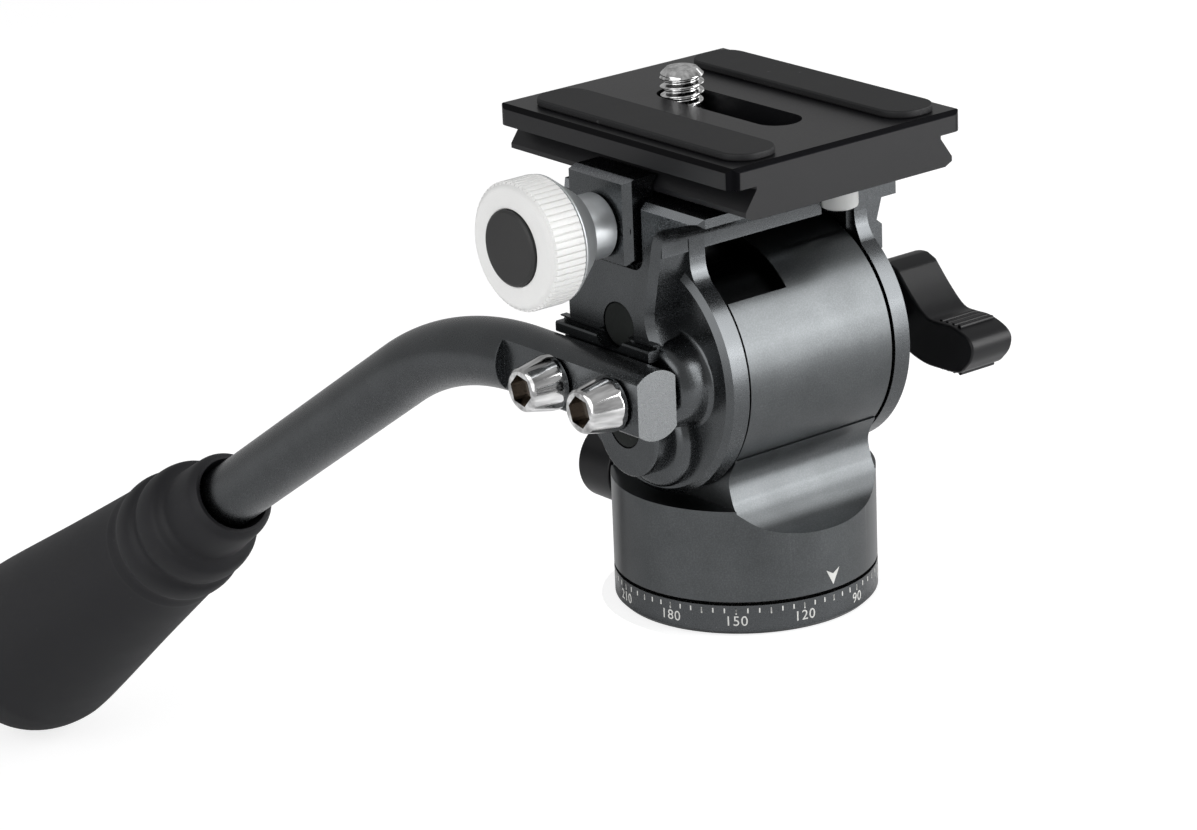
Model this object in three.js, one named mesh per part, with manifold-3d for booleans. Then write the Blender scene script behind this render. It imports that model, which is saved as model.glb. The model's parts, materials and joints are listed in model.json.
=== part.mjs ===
// Compact fluid video head: a panning base, a tilting damper drum between two cheeks, a dovetail
// clamp with its camera plate, and a cranked pan bar with a rubber grip. Millimetres, +Z up.
// The origin is on the pan axis at the underside of the base. X is the tilt axis, with the tilt
// lock lever at +X and the pan bar at -X. The operator stands at +Y, where the grip is.
import * as THREE from "three";
import { mergeVertices } from "three/addons/utils/BufferGeometryUtils.js";
import Module from "manifold-3d";

const wasm = await Module();
wasm.setup();

// Clearance between neighbouring pieces, and how far a cutter runs past what it cuts
const gap = 0.3;
const overrun = 2;
const mergeTolerance = 0.0001;

// Sides of a large, a middling and a small round form
const sidesLarge = 48;
const sidesMid = 24;
const sidesSmall = 12;
const hexSides = 6;
const ribSides = 8;
const grooveSides = 4;
const cornerPoints = 6;

// Base ring and its spindle
const baseRadius = 19;
const ringHeight = 4.44;
const ringEdge = 0.6;
const ringWall = 1.7;
const ringFloor = 1.7;
const ringFloorWidth = 8.7;
const thrustDiscThickness = 0.75;
const thrustDiscBore = 8.9;
const flangeInset = 4.4;
const spindlePostRadius = 7;
const spindleStubRadius = 4;
const spindleStubLength = 8.4;
const stubClearance = 1.69;
const tripodThreadRadius = 3.97;
const tripodBushRadius = 6;
const tripodBushLength = 9.2;
const tripodBushInset = 0.3;
const baseScrewCount = 3;
const baseScrewInset = 6.4;
const baseScrewRadius = 1.25;
const baseScrewHeadRadius = 1.9;
const baseScrewHeadHeight = 1;
const baseScrewLength = 3;
const washerThickness = 0.8;
const nutHeight = 4;
const nutAcrossCorners = 13.6;

// Pan housing: a round saddle, a waisted neck and the damper drum in one casting
const panGap = 0.55;
const saddleTop = 18.5;
const saddleClearance = 0.75;
const drumRadius = 17.65;
const drumHalfWidth = 13.3;
const drumWall = 5.15;
const nutChamberRadius = 8.5;
const panBushWall = 1.2;
const panBushLength = 3.7;
const ledgeThickness = 2.2;
// The cove between saddle and drum, as shares of the base radius and of the tilt axis height
const coveShares = [
  [1, 0.3815],
  [0.955, 0.392],
  [0.853, 0.422],
  [0.758, 0.47],
  [0.705, 0.503],
  [0.674, 0.538],
  [0.646, 0.6],
  [0.671, 0.648],
  [0.737, 0.702],
];
// The notch in the drum that the stop pin runs in, its angles from the front horizontal
const stopNotchDepth = 2;
const stopNotchInner = 2.35;
const stopNotchFrontDegrees = 41.5;
const stopNotchRearDegrees = 190.5;
const stopNotchSteps = 12;

// Fluid damper inside the drum: two cups on the housing and a rotor on the axle
const cupWall = 2.6;
const cupEndThickness = 2;
const axleRadius = 4;
const axleEnd = 12;
const axleBushWall = 1.7;
const axleFlangeInset = 1;
const axleFlangeThickness = 2;
const rotorHubRadius = 6;
const rotorDiscCount = 3;
const rotorDiscPitch = 6;
const rotorDiscThickness = 1.2;

// Tilt frame: two cheeks, the arms on them and the bridge, with heights from the tilt axis
const cheekProud = 0.19;
const cheekThickness = 2.8;
const cheekBossInset = 1.84;
const cheekBossThickness = 1.7;
const armFront = 9.3;
const armRear = 11.4;
const bridgeClearance = 1.51;
const bridgeThickness = 7.5;
const sideFace = 22.15;
const shelfReach = 18.5;
const shelfRight = 13.4;
// The outline of the left arm block, as shares of the shelf reach and of the bed height
const blockFrontShares = [
  [-0.573, 0.243],
  [-0.378, 0.367],
  [-0.503, 0.799],
  [-0.54, 0.84],
  [-0.605, 0.8635],
];
const shelfShares = [
  [-0.605, 0.8635],
  [-1, 0.95],
  [-1, 1],
];
const blockRearShares = [
  [0.616, 0.243],
  [0.5, 0.03],
  [0.26, -0.2],
];
const lowerBossRadius = 6.4;
const lowerBossForward = 1.2;
const lowerBossDrop = 7.74;
const noseRadius = 6.4;
const noseForward = 7.6;
const rightArmFace = 19.3;
const rightBossRadius = 8;
// The right arm seen from the front, as shares of the side face and of the bed height
const rightArmShares = [
  [0.871, 0.44],
  [0.871, 0.574],
  [0.826, 0.604],
  [0.876, 0.735],
  [0.989, 0.795],
  [1, 0.86],
  [1, 1],
];

// Bolts behind the two rubber plugs on the left arm
const plugRadius = 3.1;
const plugThickness = 1.5;
const plugProud = 0.15;
const plugForwards = [0.4, 0.75];
const plugHeights = [8.01, -6.76];
const boltHeadRadius = 2.7;
const boltHeadHeight = 2.2;
const boltRadius = 1.5;

// Stop pin and spirit level
const stopPinRadius = 1.5;
const stopPinRear = 9.5;
const stopPinLeft = 7.8;
const stopPinEntry = 3.75;
const stopPinDepth = 4.84;
const vialRadius = 2.75;
const vialRight = 11;
const vialForward = 9.6;
const vialRecess = 0.54;
const vialLength = 4.5;
const vialEdge = 0.5;

// Pan bar: a round rod with two flats, clamped by two cone-headed screws and bent down to the grip
const barRadius = 4.98;
const barOut = 27;
const barHeight = 0.61;
const barFront = 14.07;
const barFlatOuter = 3.35;
const barFlatInner = 3.4;
const barFlatRear = 15.3;
const barBendStart = 13.84;
const barBendRadius = 55.3;
const barBendDegrees = 33.36;
const barSteps = 30;
const barInGrip = 62;
const seatProud = 1.15;
const seatFront = 3.6;
const seatRear = 10.4;
const seatHalfHeight = 3.6;
const coneScrewBacks = [4.35, -8.45];
const coneScrewFace = 36.1;
const coneScrewTipRadius = 3.1;
const coneScrewBaseRadius = 4;
const coneScrewShankRadius = 2.5;
const coneScrewEnd = 17.9;
const coneScrewHexRadius = 2.3;
const coneScrewHexDepth = 2.6;
// The bead above the bar, as x and z sizes from the side face and the tilt axis
const beadReach = 1.85;
const beadLow = 4.75;
const beadTop = 7.1;
const beadShares = [
  [-0.1, 0],
  [0.7, 0],
  [1, 0.35],
  [1, 0.7],
  [0.75, 0.92],
  [0.5, 0.85],
  [0.36, 0.6],
  [0.2, 0.7],
  [0.1, 1],
  [-0.1, 1],
];

// Grip: a rubber sleeve turned about an axis that leans a little below the bar
const gripStart = 56.5;
const gripLength = 92;
const gripRadius = 14.9;
const gripLeanDegrees = 1.3;
const gripMouthDepth = 3;
const gripMouthRadius = 6.3;
const gripShares = [
  [0, 0.43],
  [0.008, 0.475],
  [0.045, 0.5],
  [0.07, 0.51],
  [0.08, 0.6],
  [0.1, 0.655],
  [0.155, 0.67],
  [0.175, 0.66],
  [0.185, 0.69],
  [0.205, 0.71],
  [0.245, 0.71],
  [0.265, 0.69],
  [0.5, 0.825],
  [0.77, 0.985],
  [0.82, 1],
  [0.87, 0.965],
  [0.92, 0.87],
  [0.965, 0.68],
  [0.992, 0.4],
  [1, 0],
];

// Dovetail clamp: the sliding jaw at -X and the fixed jaw at +X
const jawFace = 23.8;
const jawInner = 20.6;
const jawFront = 5.2;
const jawBack = 7.2;
const jawDrop = 9;
const jawRise = 3.2;
const jawChamferX = 1.3;
const jawChamferZ = 0.55;
const jawSlotSide = 1;
const jawSlotBelow = 0.9;
const jawSlotInner = 20.3;
const jawSlotCorner = 2;
const clampBack = 1;
const clampRise = 3.4;
const clampScrewRadius = 2.5;
const clampScrewEnd = 8;
const guidePinRadius = 1;
const guidePinSpacing = 4.7;
const guidePinInner = 12;
const springRadius = 3;
const springWire = 0.35;
const springPocketRadius = 3.75;
const springPocketDepth = 3.6;
const springTurns = 4;
const springStepsPerTurn = 8;
const springSides = 5;

// Knob on the clamp screw
const knobRadius = 9.1;
const knobFaceRadius = 8.34;
const knobFace = 39;
const knobEdge = 0.75;
const knobKnurlEnd = 33.2;
const knobBackRadius = 6.23;
const knobBack = 29.2;
const knobCapRadius = 5.34;
const knobCapProud = 0.6;
const knobCapDepth = 1.2;
const knobBossRadius = 4.65;
const knurlCount = 40;
const knurlDepth = 0.3;

// Camera plate, its heights one above another from the underside up
const plateHalfWidth = 21.1;
const plateFront = 24.33;
const plateBack = 26.3;
const plateEdge = 0.6;
const plateCorner = 1.7;
const slabThickness = 3.06;
const notchHalfWidth = 16.85;
const notchEdge = 0.45;
const notchRise = 2.85;
const tailHalfWidth = 18.9;
const tailEdge = 0.7;
const tailChamfer = 0.6;
const plateBottomHalfWidth = 17.6;
const padHeight = 1.1;
const padOuter = 18.65;
const padInner = 10.3;
const padFront = 23;
const padBack = 22.6;
const padCorner = 3.6;
const slotHalfWidth = 3.45;
const slotFront = 12.9;
const slotBack = 14.5;
const recessHalfWidth = 8;
const recessOverlap = 4;
const recessCorner = 6;
const recessDepth = 3.9;

// Camera screw, a quarter-inch thread
const screwRadius = 3.175;
const screwBack = 10.75;
const screwProud = 4.64;
const threadPitch = 1.27;
const threadDepth = 0.75;
const screwHeadRadius = 7;
const screwHeadHeight = 2;
const screwHeadInset = 0.6;
const screwSlotWidth = 1.4;
const screwWasherRadius = 7.4;
const screwWasherThickness = 0.6;

// Lock levers, the same lever for pan and tilt
const leverReach = 17.8;
const leverWidth = 7;
const leverHubRadius = 5.5;
const leverNeckRadius = 3.5;
const studRadius = 2.5;
const tiltLeverFrom = 29.5;
const tiltWasherRadius = 5;
const tiltWasherThickness = 1;
const tiltStudInAxle = 7;
const panLeverFrom = 23.5;
const panShoeLength = 3.7;
const leverRibCount = 3;
const leverRibPitch = 1.5;
const leverRibRadius = 0.4;
const leverHubDegrees = [-105, 95];
const leverEdgePoints = 3;
const leverRibShare = 0.62;
const leverRibUpperShare = 0.07;
const leverRibLowerShare = 0.465;
// The lever's upper edge to its tip and the lower edge back, as shares of its reach
const leverUpperShares = [
  [-0.12, 0.27],
  [-0.287, 0.088],
  [-0.455, -0.053],
  [-0.6, -0.07],
  [-0.753, -0.07],
  [-0.93, -0.125],
  [-1, -0.2],
  [-0.985, -0.3],
  [-0.927, -0.38],
  [-0.826, -0.457],
];
const leverLowerShares = [
  [-0.826, -0.457],
  [-0.6, -0.47],
  [-0.421, -0.463],
  [-0.225, -0.4],
  [-0.1, -0.29],
];

// A finish for one piece
function finish(color, roughness, metalness) {
  return new THREE.MeshStandardMaterial({ color, roughness, metalness });
}

const anodisedGrey = () => finish(0x3a3d40, 0.45, 0.7);
const anodisedBlack = () => finish(0x141415, 0.4, 0.6);
const blackPlastic = () => finish(0x18191a, 0.5, 0);
const blackRubber = () => finish(0x161617, 0.85, 0);
const whiteEnamel = () => finish(0xe8e8e6, 0.5, 0);
const satinSteel = () => finish(0xa9adb0, 0.35, 1);
const polishedSteel = () => finish(0xd0d0d0, 0.15, 1);
const clearAcrylic = () => finish(0xe6ece8, 0.1, 0);
const bronze = () => finish(0xa8793f, 0.45, 0.9);
const whiteAcetal = () => finish(0xdedcd4, 0.6, 0);

// A closed geometry as a solid that can be joined and cut, with its faces pointing out
function solid(form) {
  if (!form.isBufferGeometry) {
    return form;
  }
  const bare = form.clone();
  bare.deleteAttribute("normal");
  bare.deleteAttribute("uv");
  const merged = mergeVertices(bare, mergeTolerance);
  const places = merged.attributes.position;
  const corners = [0, 1, 2].map(() => new THREE.Vector3());
  const faces = [];
  let volume = 0;
  for (let start = 0; start < merged.index.count; start += 3) {
    const face = [0, 1, 2].map((step) => merged.index.getX(start + step));
    if (new Set(face).size === 3) {
      corners.forEach((corner, step) => corner.fromBufferAttribute(places, face[step]));
      volume += corners[0].dot(corners[1].clone().cross(corners[2]));
      faces.push(face);
    }
  }
  const triVerts = new Uint32Array(faces.flatMap((face) => (volume < 0 ? [...face].reverse() : face)));
  const vertProperties = new Float32Array(places.array);
  return new wasm.Manifold(new wasm.Mesh({ numProp: 3, vertProperties, triVerts }));
}

const join = (first, ...rest) => rest.reduce((whole, form) => whole.add(solid(form)), solid(first));
const cut = (first, ...rest) => rest.reduce((whole, form) => whole.subtract(solid(form)), solid(first));
const common = (first, second) => solid(first).intersect(solid(second));

// Adds one named piece to a group
function piece(parent, name, material, form) {
  const mesh = solid(form).getMesh();
  const geometry = new THREE.BufferGeometry();
  geometry.setAttribute("position", new THREE.BufferAttribute(mesh.vertProperties, 3));
  geometry.setIndex(new THREE.BufferAttribute(mesh.triVerts, 1));
  geometry.computeVertexNormals();
  const part = new THREE.Mesh(geometry, material);
  part.name = name;
  parent.add(part);
  return part;
}

// Lays a form that was made about +Z along another axis
function along(axis, form) {
  const bases = {
    x: new THREE.Matrix4().makeBasis(
      new THREE.Vector3(0, 1, 0),
      new THREE.Vector3(0, 0, 1),
      new THREE.Vector3(1, 0, 0),
    ),
    y: new THREE.Matrix4().makeBasis(
      new THREE.Vector3(0, 0, 1),
      new THREE.Vector3(1, 0, 0),
      new THREE.Vector3(0, 1, 0),
    ),
    z: new THREE.Matrix4(),
  };
  return form.applyMatrix4(bases[axis]);
}

// A body turned about an axis through the origin, from pairs of a place along it and a radius
function turned(axis, profile, sides) {
  const closed = profile[0][1] > 0 || profile.at(-1)[1] > 0;
  const loop = closed ? [...profile, profile[0]] : profile;
  const points = loop.map(([place, radius]) => new THREE.Vector2(radius, place));
  return along(axis, new THREE.LatheGeometry(points, sides).rotateX(Math.PI / 2));
}

function rod(axis, radius, from, to, sides = sidesMid) {
  return turned(axis, [[from, 0], [from, radius], [to, radius], [to, 0]], sides);
}

function tube(axis, outer, inner, from, to, sides = sidesMid) {
  return turned(axis, [[from, inner], [from, outer], [to, outer], [to, inner]], sides);
}

// A prism of an outline: its pairs are y and z along x, z and x along y, or x and y along z
function prism(axis, outline, from, to) {
  const shape = outline.isShape ? outline : new THREE.Shape(vectors(outline));
  const options = { depth: to - from, bevelEnabled: false, curveSegments: sidesSmall };
  return along(axis, new THREE.ExtrudeGeometry(shape, options).translate(0, 0, from));
}

function block(x, y, z) {
  const sizes = [x, y, z].map(([low, high]) => high - low);
  const middles = [x, y, z].map(([low, high]) => (low + high) / 2);
  return new THREE.BoxGeometry(...sizes).translate(...middles);
}

// A rectangle with round corners, as an outline
function roundedRectangle([left, right], [low, high], corner) {
  const shape = new THREE.Shape();
  shape.absarc(right - corner, high - corner, corner, 0, Math.PI / 2);
  shape.absarc(left + corner, high - corner, corner, Math.PI / 2, Math.PI);
  shape.absarc(left + corner, low + corner, corner, Math.PI, 1.5 * Math.PI);
  shape.absarc(right - corner, low + corner, corner, 1.5 * Math.PI, 2 * Math.PI);
  shape.closePath();
  const points = shape.getPoints(cornerPoints);
  const apart = points.filter((point, at) => at === 0 || point.distanceTo(points[at - 1]) > mergeTolerance);
  return apart.map((point) => [point.x, point.y]);
}

const vectors = (pairs) => pairs.map((pair) => new THREE.Vector2(...pair));
const scaled = (shares, across, up) => shares.map(([a, b]) => [a * across, b * up]);
const radians = (degrees) => THREE.MathUtils.degToRad(degrees);

// Sizes that follow from those above: the base, then the drum between its cheeks
const ringBore = baseRadius - ringFloorWidth;
const spindleFlangeRadius = baseRadius - flangeInset;
const baseScrewCircle = baseRadius - baseScrewInset;
const housingBottom = ringHeight + panGap;
const drumBoreRadius = drumRadius - drumWall;
const axleFlangeRadius = drumBoreRadius - axleFlangeInset;
const cheekRadius = drumRadius + cheekProud;
const cheekBossRadius = cheekRadius - cheekBossInset;
const tiltAxisHeight = saddleTop + saddleClearance + cheekRadius;
const spindleStubTop = tiltAxisHeight - drumBoreRadius - stubClearance;
const spindlePostTop = spindleStubTop - spindleStubLength;
const ledgeBottom = spindlePostTop + gap;
const ledgeTop = ledgeBottom + ledgeThickness;
const panLeverHeight = ledgeBottom - studRadius;

// Heights above the tilt axis that follow from them: the bridge, what it holds, and the plate on it
const bridgeUnderside = drumRadius + bridgeClearance;
const bedHeight = bridgeUnderside + bridgeThickness;
const stopPinBottom = drumRadius - stopPinEntry;
const stopPinTop = bridgeUnderside + stopPinDepth;
const vialBottom = bridgeUnderside + vialRecess;
const vialTop = vialBottom + vialLength;
const clampHeight = bridgeUnderside + clampRise;
const jawBottom = bedHeight - jawDrop;
const jawTop = bedHeight + jawRise;
const plateBottom = bedHeight + gap;
const tailLow = plateBottom + tailChamfer;
const tailHigh = tailLow + tailEdge;
const notchHeight = tailHigh + notchRise;
const slabBottom = notchHeight + notchEdge;
const plateTop = slabBottom + slabThickness;
const screwTop = plateTop + screwProud;

// Places along the tilt axis
const cheekInner = drumHalfWidth + gap;
const cheekOuter = cheekInner + cheekThickness;
const bossOuter = cheekOuter + cheekBossThickness;
const flangeOuter = cheekInner + gap + axleFlangeThickness;

// Base: fixed to the tripod
function makeBase(parent) {
  const screwTurns = [...Array(baseScrewCount).keys()].map((number) => (number * 2 * Math.PI) / baseScrewCount);
  const around = (form) => screwTurns.map((turn) => form.clone().translate(baseScrewCircle, 0, 0).rotateZ(turn));
  const discSeat = housingBottom - gap - thrustDiscThickness - gap;
  const ring = turned("z", [
    [0, ringBore],
    [0, baseRadius - ringEdge],
    [ringEdge, baseRadius],
    [ringHeight, baseRadius],
    [ringHeight, baseRadius - ringWall],
    [discSeat, baseRadius - ringWall],
    [discSeat, spindleFlangeRadius + gap],
    [ringFloor, spindleFlangeRadius + gap],
    [ringFloor, ringBore],
  ], sidesLarge);
  const headHoles = around(rod("z", baseScrewHeadRadius + gap, -overrun, baseScrewHeadHeight + gap, sidesSmall));
  const shankHoles = around(rod("z", baseScrewRadius + gap, -overrun, baseScrewLength + gap, sidesSmall));
  piece(parent, "graduated_base_ring", anodisedGrey(), cut(ring, ...headHoles, ...shankHoles));

  const spindle = turned("z", [
    [0, 0],
    [0, ringBore - gap],
    [ringFloor + gap, ringBore - gap],
    [ringFloor + gap, spindleFlangeRadius],
    [discSeat, spindleFlangeRadius],
    [discSeat, spindlePostRadius],
    [spindlePostTop, spindlePostRadius],
    [spindlePostTop, spindleStubRadius],
    [spindleStubTop, spindleStubRadius],
    [spindleStubTop, 0],
  ], sidesMid);
  const bushTop = tripodBushInset + tripodBushLength;
  const bushHole = rod("z", tripodBushRadius + gap, -overrun, bushTop + gap);
  piece(parent, "pan_spindle", satinSteel(), cut(spindle, bushHole, ...shankHoles));

  const bush = tube("z", tripodBushRadius, tripodThreadRadius, tripodBushInset, bushTop);
  piece(parent, "tripod_thread_bush", satinSteel(), bush);

  const screw = turned("z", [
    [gap, 0],
    [gap, baseScrewHeadRadius],
    [baseScrewHeadHeight, baseScrewHeadRadius],
    [baseScrewHeadHeight, baseScrewRadius],
    [baseScrewLength, baseScrewRadius],
    [baseScrewLength, 0],
  ], sidesSmall);
  around(screw).forEach((form, number) => piece(parent, `base_screw_${number + 1}`, satinSteel(), form));

  const discOuter = baseRadius - ringWall - gap;
  const disc = tube("z", discOuter, thrustDiscBore, discSeat + gap, housingBottom - gap, sidesLarge);
  piece(parent, "pan_thrust_disc", whiteAcetal(), disc);

  const washerBottom = ledgeTop + gap;
  const washerTop = washerBottom + washerThickness;
  const washer = tube("z", nutAcrossCorners / 2, spindleStubRadius + gap, washerBottom, washerTop);
  piece(parent, "spindle_spring_washer", satinSteel(), washer);

  const nutBottom = washerTop + gap;
  const nutBlank = rod("z", nutAcrossCorners / 2, nutBottom, nutBottom + nutHeight, hexSides);
  const nutBore = rod("z", spindleStubRadius + gap, nutBottom - overrun, nutBottom + nutHeight + overrun);
  piece(parent, "spindle_nut", satinSteel(), cut(nutBlank, nutBore));
}

// The stop notch: a sector of a ring about the tilt axis, on the left half of the drum
function stopNotch() {
  const outline = [];
  for (let step = 0; step <= stopNotchSteps; step += 1) {
    const share = step / stopNotchSteps;
    const angle = radians(THREE.MathUtils.lerp(stopNotchFrontDegrees, stopNotchRearDegrees, share));
    outline.push([-Math.cos(angle), Math.sin(angle)]);
  }
  const floor = scaled(outline, drumRadius - stopNotchDepth, drumRadius - stopNotchDepth);
  const open = scaled(outline, drumRadius + overrun, drumRadius + overrun);
  return prism("x", [...floor, ...open.reverse()], -drumHalfWidth - overrun, -stopNotchInner);
}

// Turning part of the base: the casting with the drum, and what is fixed in it
function makePanHousing(parent) {
  const saddle = rod("z", baseRadius, housingBottom, saddleTop, sidesLarge);
  const cove = new THREE.SplineCurve(vectors(scaled(coveShares, -baseRadius, tiltAxisHeight)));
  const front = cove.getPoints(sidesSmall).map((point) => [point.x, point.y]);
  const rear = front.map(([y, z]) => [-y, z]).reverse();
  const outline = [[-baseRadius - overrun, 0], [-baseRadius - overrun, front[0][1]], ...front];
  outline.push(...rear, [baseRadius + overrun, front[0][1]], [baseRadius + overrun, 0]);
  const neck = prism("x", outline, -drumHalfWidth, drumHalfWidth);
  const across = [-baseRadius - overrun, baseRadius + overrun];
  const middle = block([-drumHalfWidth, drumHalfWidth], across, [0, saddleTop + overrun]);
  const tall = rod("z", baseRadius, housingBottom, tiltAxisHeight, sidesLarge);
  const drum = rod("x", drumRadius, -drumHalfWidth, drumHalfWidth, sidesLarge).translate(0, 0, tiltAxisHeight);
  const drumBore = rod("x", drumBoreRadius, -drumHalfWidth - overrun, drumHalfWidth + overrun, sidesLarge);
  const casting = join(cut(saddle, cut(middle, neck)), common(neck, tall), drum);
  const housing = cut(
    casting,
    drumBore.translate(0, 0, tiltAxisHeight),
    rod("z", nutChamberRadius, ledgeTop, tiltAxisHeight),
    rod("z", spindleStubRadius + gap, 0, tiltAxisHeight),
    rod("z", spindlePostRadius + gap, 0, ledgeBottom),
    rod("z", spindlePostRadius + gap + panBushWall + gap, 0, housingBottom + gap + panBushLength + gap),
    rod("y", studRadius + gap, 0, baseRadius + overrun, sidesSmall).translate(0, 0, panLeverHeight),
    stopNotch().translate(0, 0, tiltAxisHeight),
  );
  piece(parent, "pan_housing", anodisedGrey(), housing);

  const bushFrom = housingBottom + gap;
  const bushBore = spindlePostRadius + gap;
  const bush = tube("z", bushBore + panBushWall, bushBore, bushFrom, bushFrom + panBushLength);
  piece(parent, "pan_bush", bronze(), bush);

  const shoeFace = rod("z", spindlePostRadius + gap, 0, ledgeBottom);
  const shoe = rod("y", studRadius, 0, spindlePostRadius + gap + panShoeLength, sidesSmall);
  piece(parent, "pan_brake_shoe", bronze(), cut(shoe.translate(0, 0, panLeverHeight), shoeFace));
}

// Damper cups and bushes, fixed in the drum, about the tilt axis
function makeDamper(parent) {
  const cupRadius = drumBoreRadius - gap;
  const cupEnd = drumHalfWidth - gap;
  const bushHole = axleRadius + gap + axleBushWall + gap;
  for (const [side, sign] of [["left", -1], ["right", 1]]) {
    const cup = turned("x", [
      [sign * cupEnd, bushHole],
      [sign * cupEnd, cupRadius],
      [(sign * gap) / 2, cupRadius],
      [(sign * gap) / 2, cupRadius - cupWall],
      [sign * (cupEnd - cupEndThickness), cupRadius - cupWall],
      [sign * (cupEnd - cupEndThickness), bushHole],
    ], sidesMid);
    piece(parent, `damper_cup_${side}`, anodisedBlack(), cup);
    const bushEnds = [sign * cupEnd, sign * (cupEnd - cupEndThickness)].sort((a, b) => a - b);
    const bush = tube("x", axleRadius + gap + axleBushWall, axleRadius + gap, ...bushEnds);
    piece(parent, `axle_bush_${side}`, bronze(), bush);
  }
}

// A lock lever whose hub axis is +X from its neck, and whose arm points to -Y
function lever(neckFrom, leverFrom, studEnd) {
  const shape = new THREE.Shape();
  shape.absarc(0, 0, leverHubRadius, ...leverHubDegrees.map(radians));
  shape.splineThru(vectors(scaled(leverUpperShares, leverReach, leverReach)));
  shape.splineThru(vectors(scaled(leverLowerShares, leverReach, leverReach).slice(1)));
  shape.closePath();
  const points = shape.getPoints(leverEdgePoints).map((point) => [point.x, point.y]);
  const arm = prism("x", points.slice(0, -1), leverFrom, leverFrom + leverWidth);
  const neck = rod("x", leverNeckRadius, neckFrom, leverFrom + leverWidth / 2);
  const ribs = [...Array(leverRibCount).keys()].flatMap((number) => {
    const rib = rod("x", leverRibRadius, leverFrom, leverFrom + leverWidth, ribSides);
    const across = -leverReach * leverRibShare - number * leverRibPitch;
    const upper = -leverReach * leverRibUpperShare;
    const lower = -leverReach * leverRibLowerShare;
    return [rib.clone().translate(0, across, upper), rib.translate(0, across, lower)];
  });
  const bore = rod("x", studRadius + gap, neckFrom - overrun, studEnd + gap, sidesSmall);
  return cut(join(arm, neck, ...ribs), bore);
}

function makePanLock(parent) {
  const neckFrom = baseRadius + gap;
  const studEnd = panLeverFrom + leverWidth / 2;
  const panLever = piece(parent, "pan_lock_lever", blackPlastic(), lever(neckFrom, panLeverFrom, studEnd));
  const studFrom = spindlePostRadius + gap + panShoeLength + gap;
  const studForm = rod("x", studRadius, studFrom, studEnd, sidesSmall);
  const stud = piece(parent, "pan_lock_stud", satinSteel(), studForm);
  for (const part of [panLever, stud]) {
    part.position.set(0, 0, panLeverHeight);
    part.rotation.z = Math.PI / 2;
  }
}

// The left arm with its bosses, and the bar's seat and bead
function leftArm() {
  const blockOutline = [
    ...scaled(blockFrontShares, shelfReach, bedHeight),
    [-armFront, bedHeight],
    [armRear, bedHeight],
    ...scaled(blockRearShares, shelfReach, bedHeight),
    [-lowerBossForward, -lowerBossDrop],
  ];
  const arm = prism("x", blockOutline, -sideFace, -cheekInner);
  const lowerBoss = rod("x", lowerBossRadius, -sideFace, -cheekInner);
  lowerBoss.translate(0, -lowerBossForward, -lowerBossDrop);
  const nose = rod("x", noseRadius, -sideFace, -cheekInner).translate(0, -noseForward, barHeight);
  const seatRise = [barHeight - seatHalfHeight, beadLow];
  const seat = block([-sideFace - seatProud, -cheekInner], [-seatFront, seatRear], seatRise);
  const beadSection = scaled(beadShares, -beadReach, beadTop - beadLow);
  const beadOutline = beadSection.map(([x, z]) => [beadLow + z, x - sideFace]);
  const bead = prism("y", beadOutline, blockFrontShares[0][0] * shelfReach, armRear);
  return join(arm, lowerBoss, nose, seat, bead);
}

// The right arm, its shoulder and the lock boss
function rightArm() {
  const shoulder = scaled(rightArmShares, sideFace, bedHeight);
  const outline = [[cheekInner, shoulder[0][1]], ...shoulder, [cheekInner, bedHeight]];
  const arm = prism("y", outline.map(([x, z]) => [z, x]), -armFront, armRear);
  const boss = rod("x", rightBossRadius, cheekInner, rightArmFace);
  return join(arm, boss);
}

function tiltFrameSolid() {
  const cheeks = [-1, 1].flatMap((sign) => {
    const ends = [sign * cheekInner, sign * cheekOuter].sort((a, b) => a - b);
    const bossEnds = [sign * cheekInner, sign * bossOuter].sort((a, b) => a - b);
    const web = block(ends, [-armFront, armRear], [0, bedHeight]);
    const boss = sign < 0 ? [rod("x", cheekBossRadius, ...bossEnds, sidesLarge)] : [];
    return [rod("x", cheekRadius, ...ends, sidesLarge), web, ...boss];
  });
  const bridge = block([-sideFace, sideFace], [-armFront, armRear], [bridgeUnderside, bedHeight]);
  const lip = scaled(shelfShares, shelfReach, bedHeight);
  const shelf = prism("x", [[-armFront, bridgeUnderside], ...lip, [-armFront, bedHeight]], -sideFace, shelfRight);
  return join(leftArm(), rightArm(), ...cheeks, bridge, shelf, fixedJaw());
}

// The dovetail flank of a jaw stands off the plate's tail by the clearance, measured square to it
function flank() {
  const run = tailHalfWidth - notchHalfWidth;
  const rise = notchHeight - tailHigh;
  const length = Math.hypot(run, rise);
  const foot = [tailHalfWidth + gap, tailHigh + (gap * run) / length];
  const lean = run / rise;
  const top = [foot[0] - lean * (jawTop - foot[1]), jawTop];
  return [foot, top];
}

function fixedJaw() {
  const outline = [
    [tailHalfWidth + gap, bedHeight - overrun],
    [sideFace, bedHeight - overrun],
    [sideFace, jawTop - jawChamferZ],
    [sideFace - jawChamferX, jawTop],
    ...flank().reverse(),
  ];
  return prism("y", outline.map(([x, z]) => [z, x]), -armFront, armRear);
}

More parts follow.
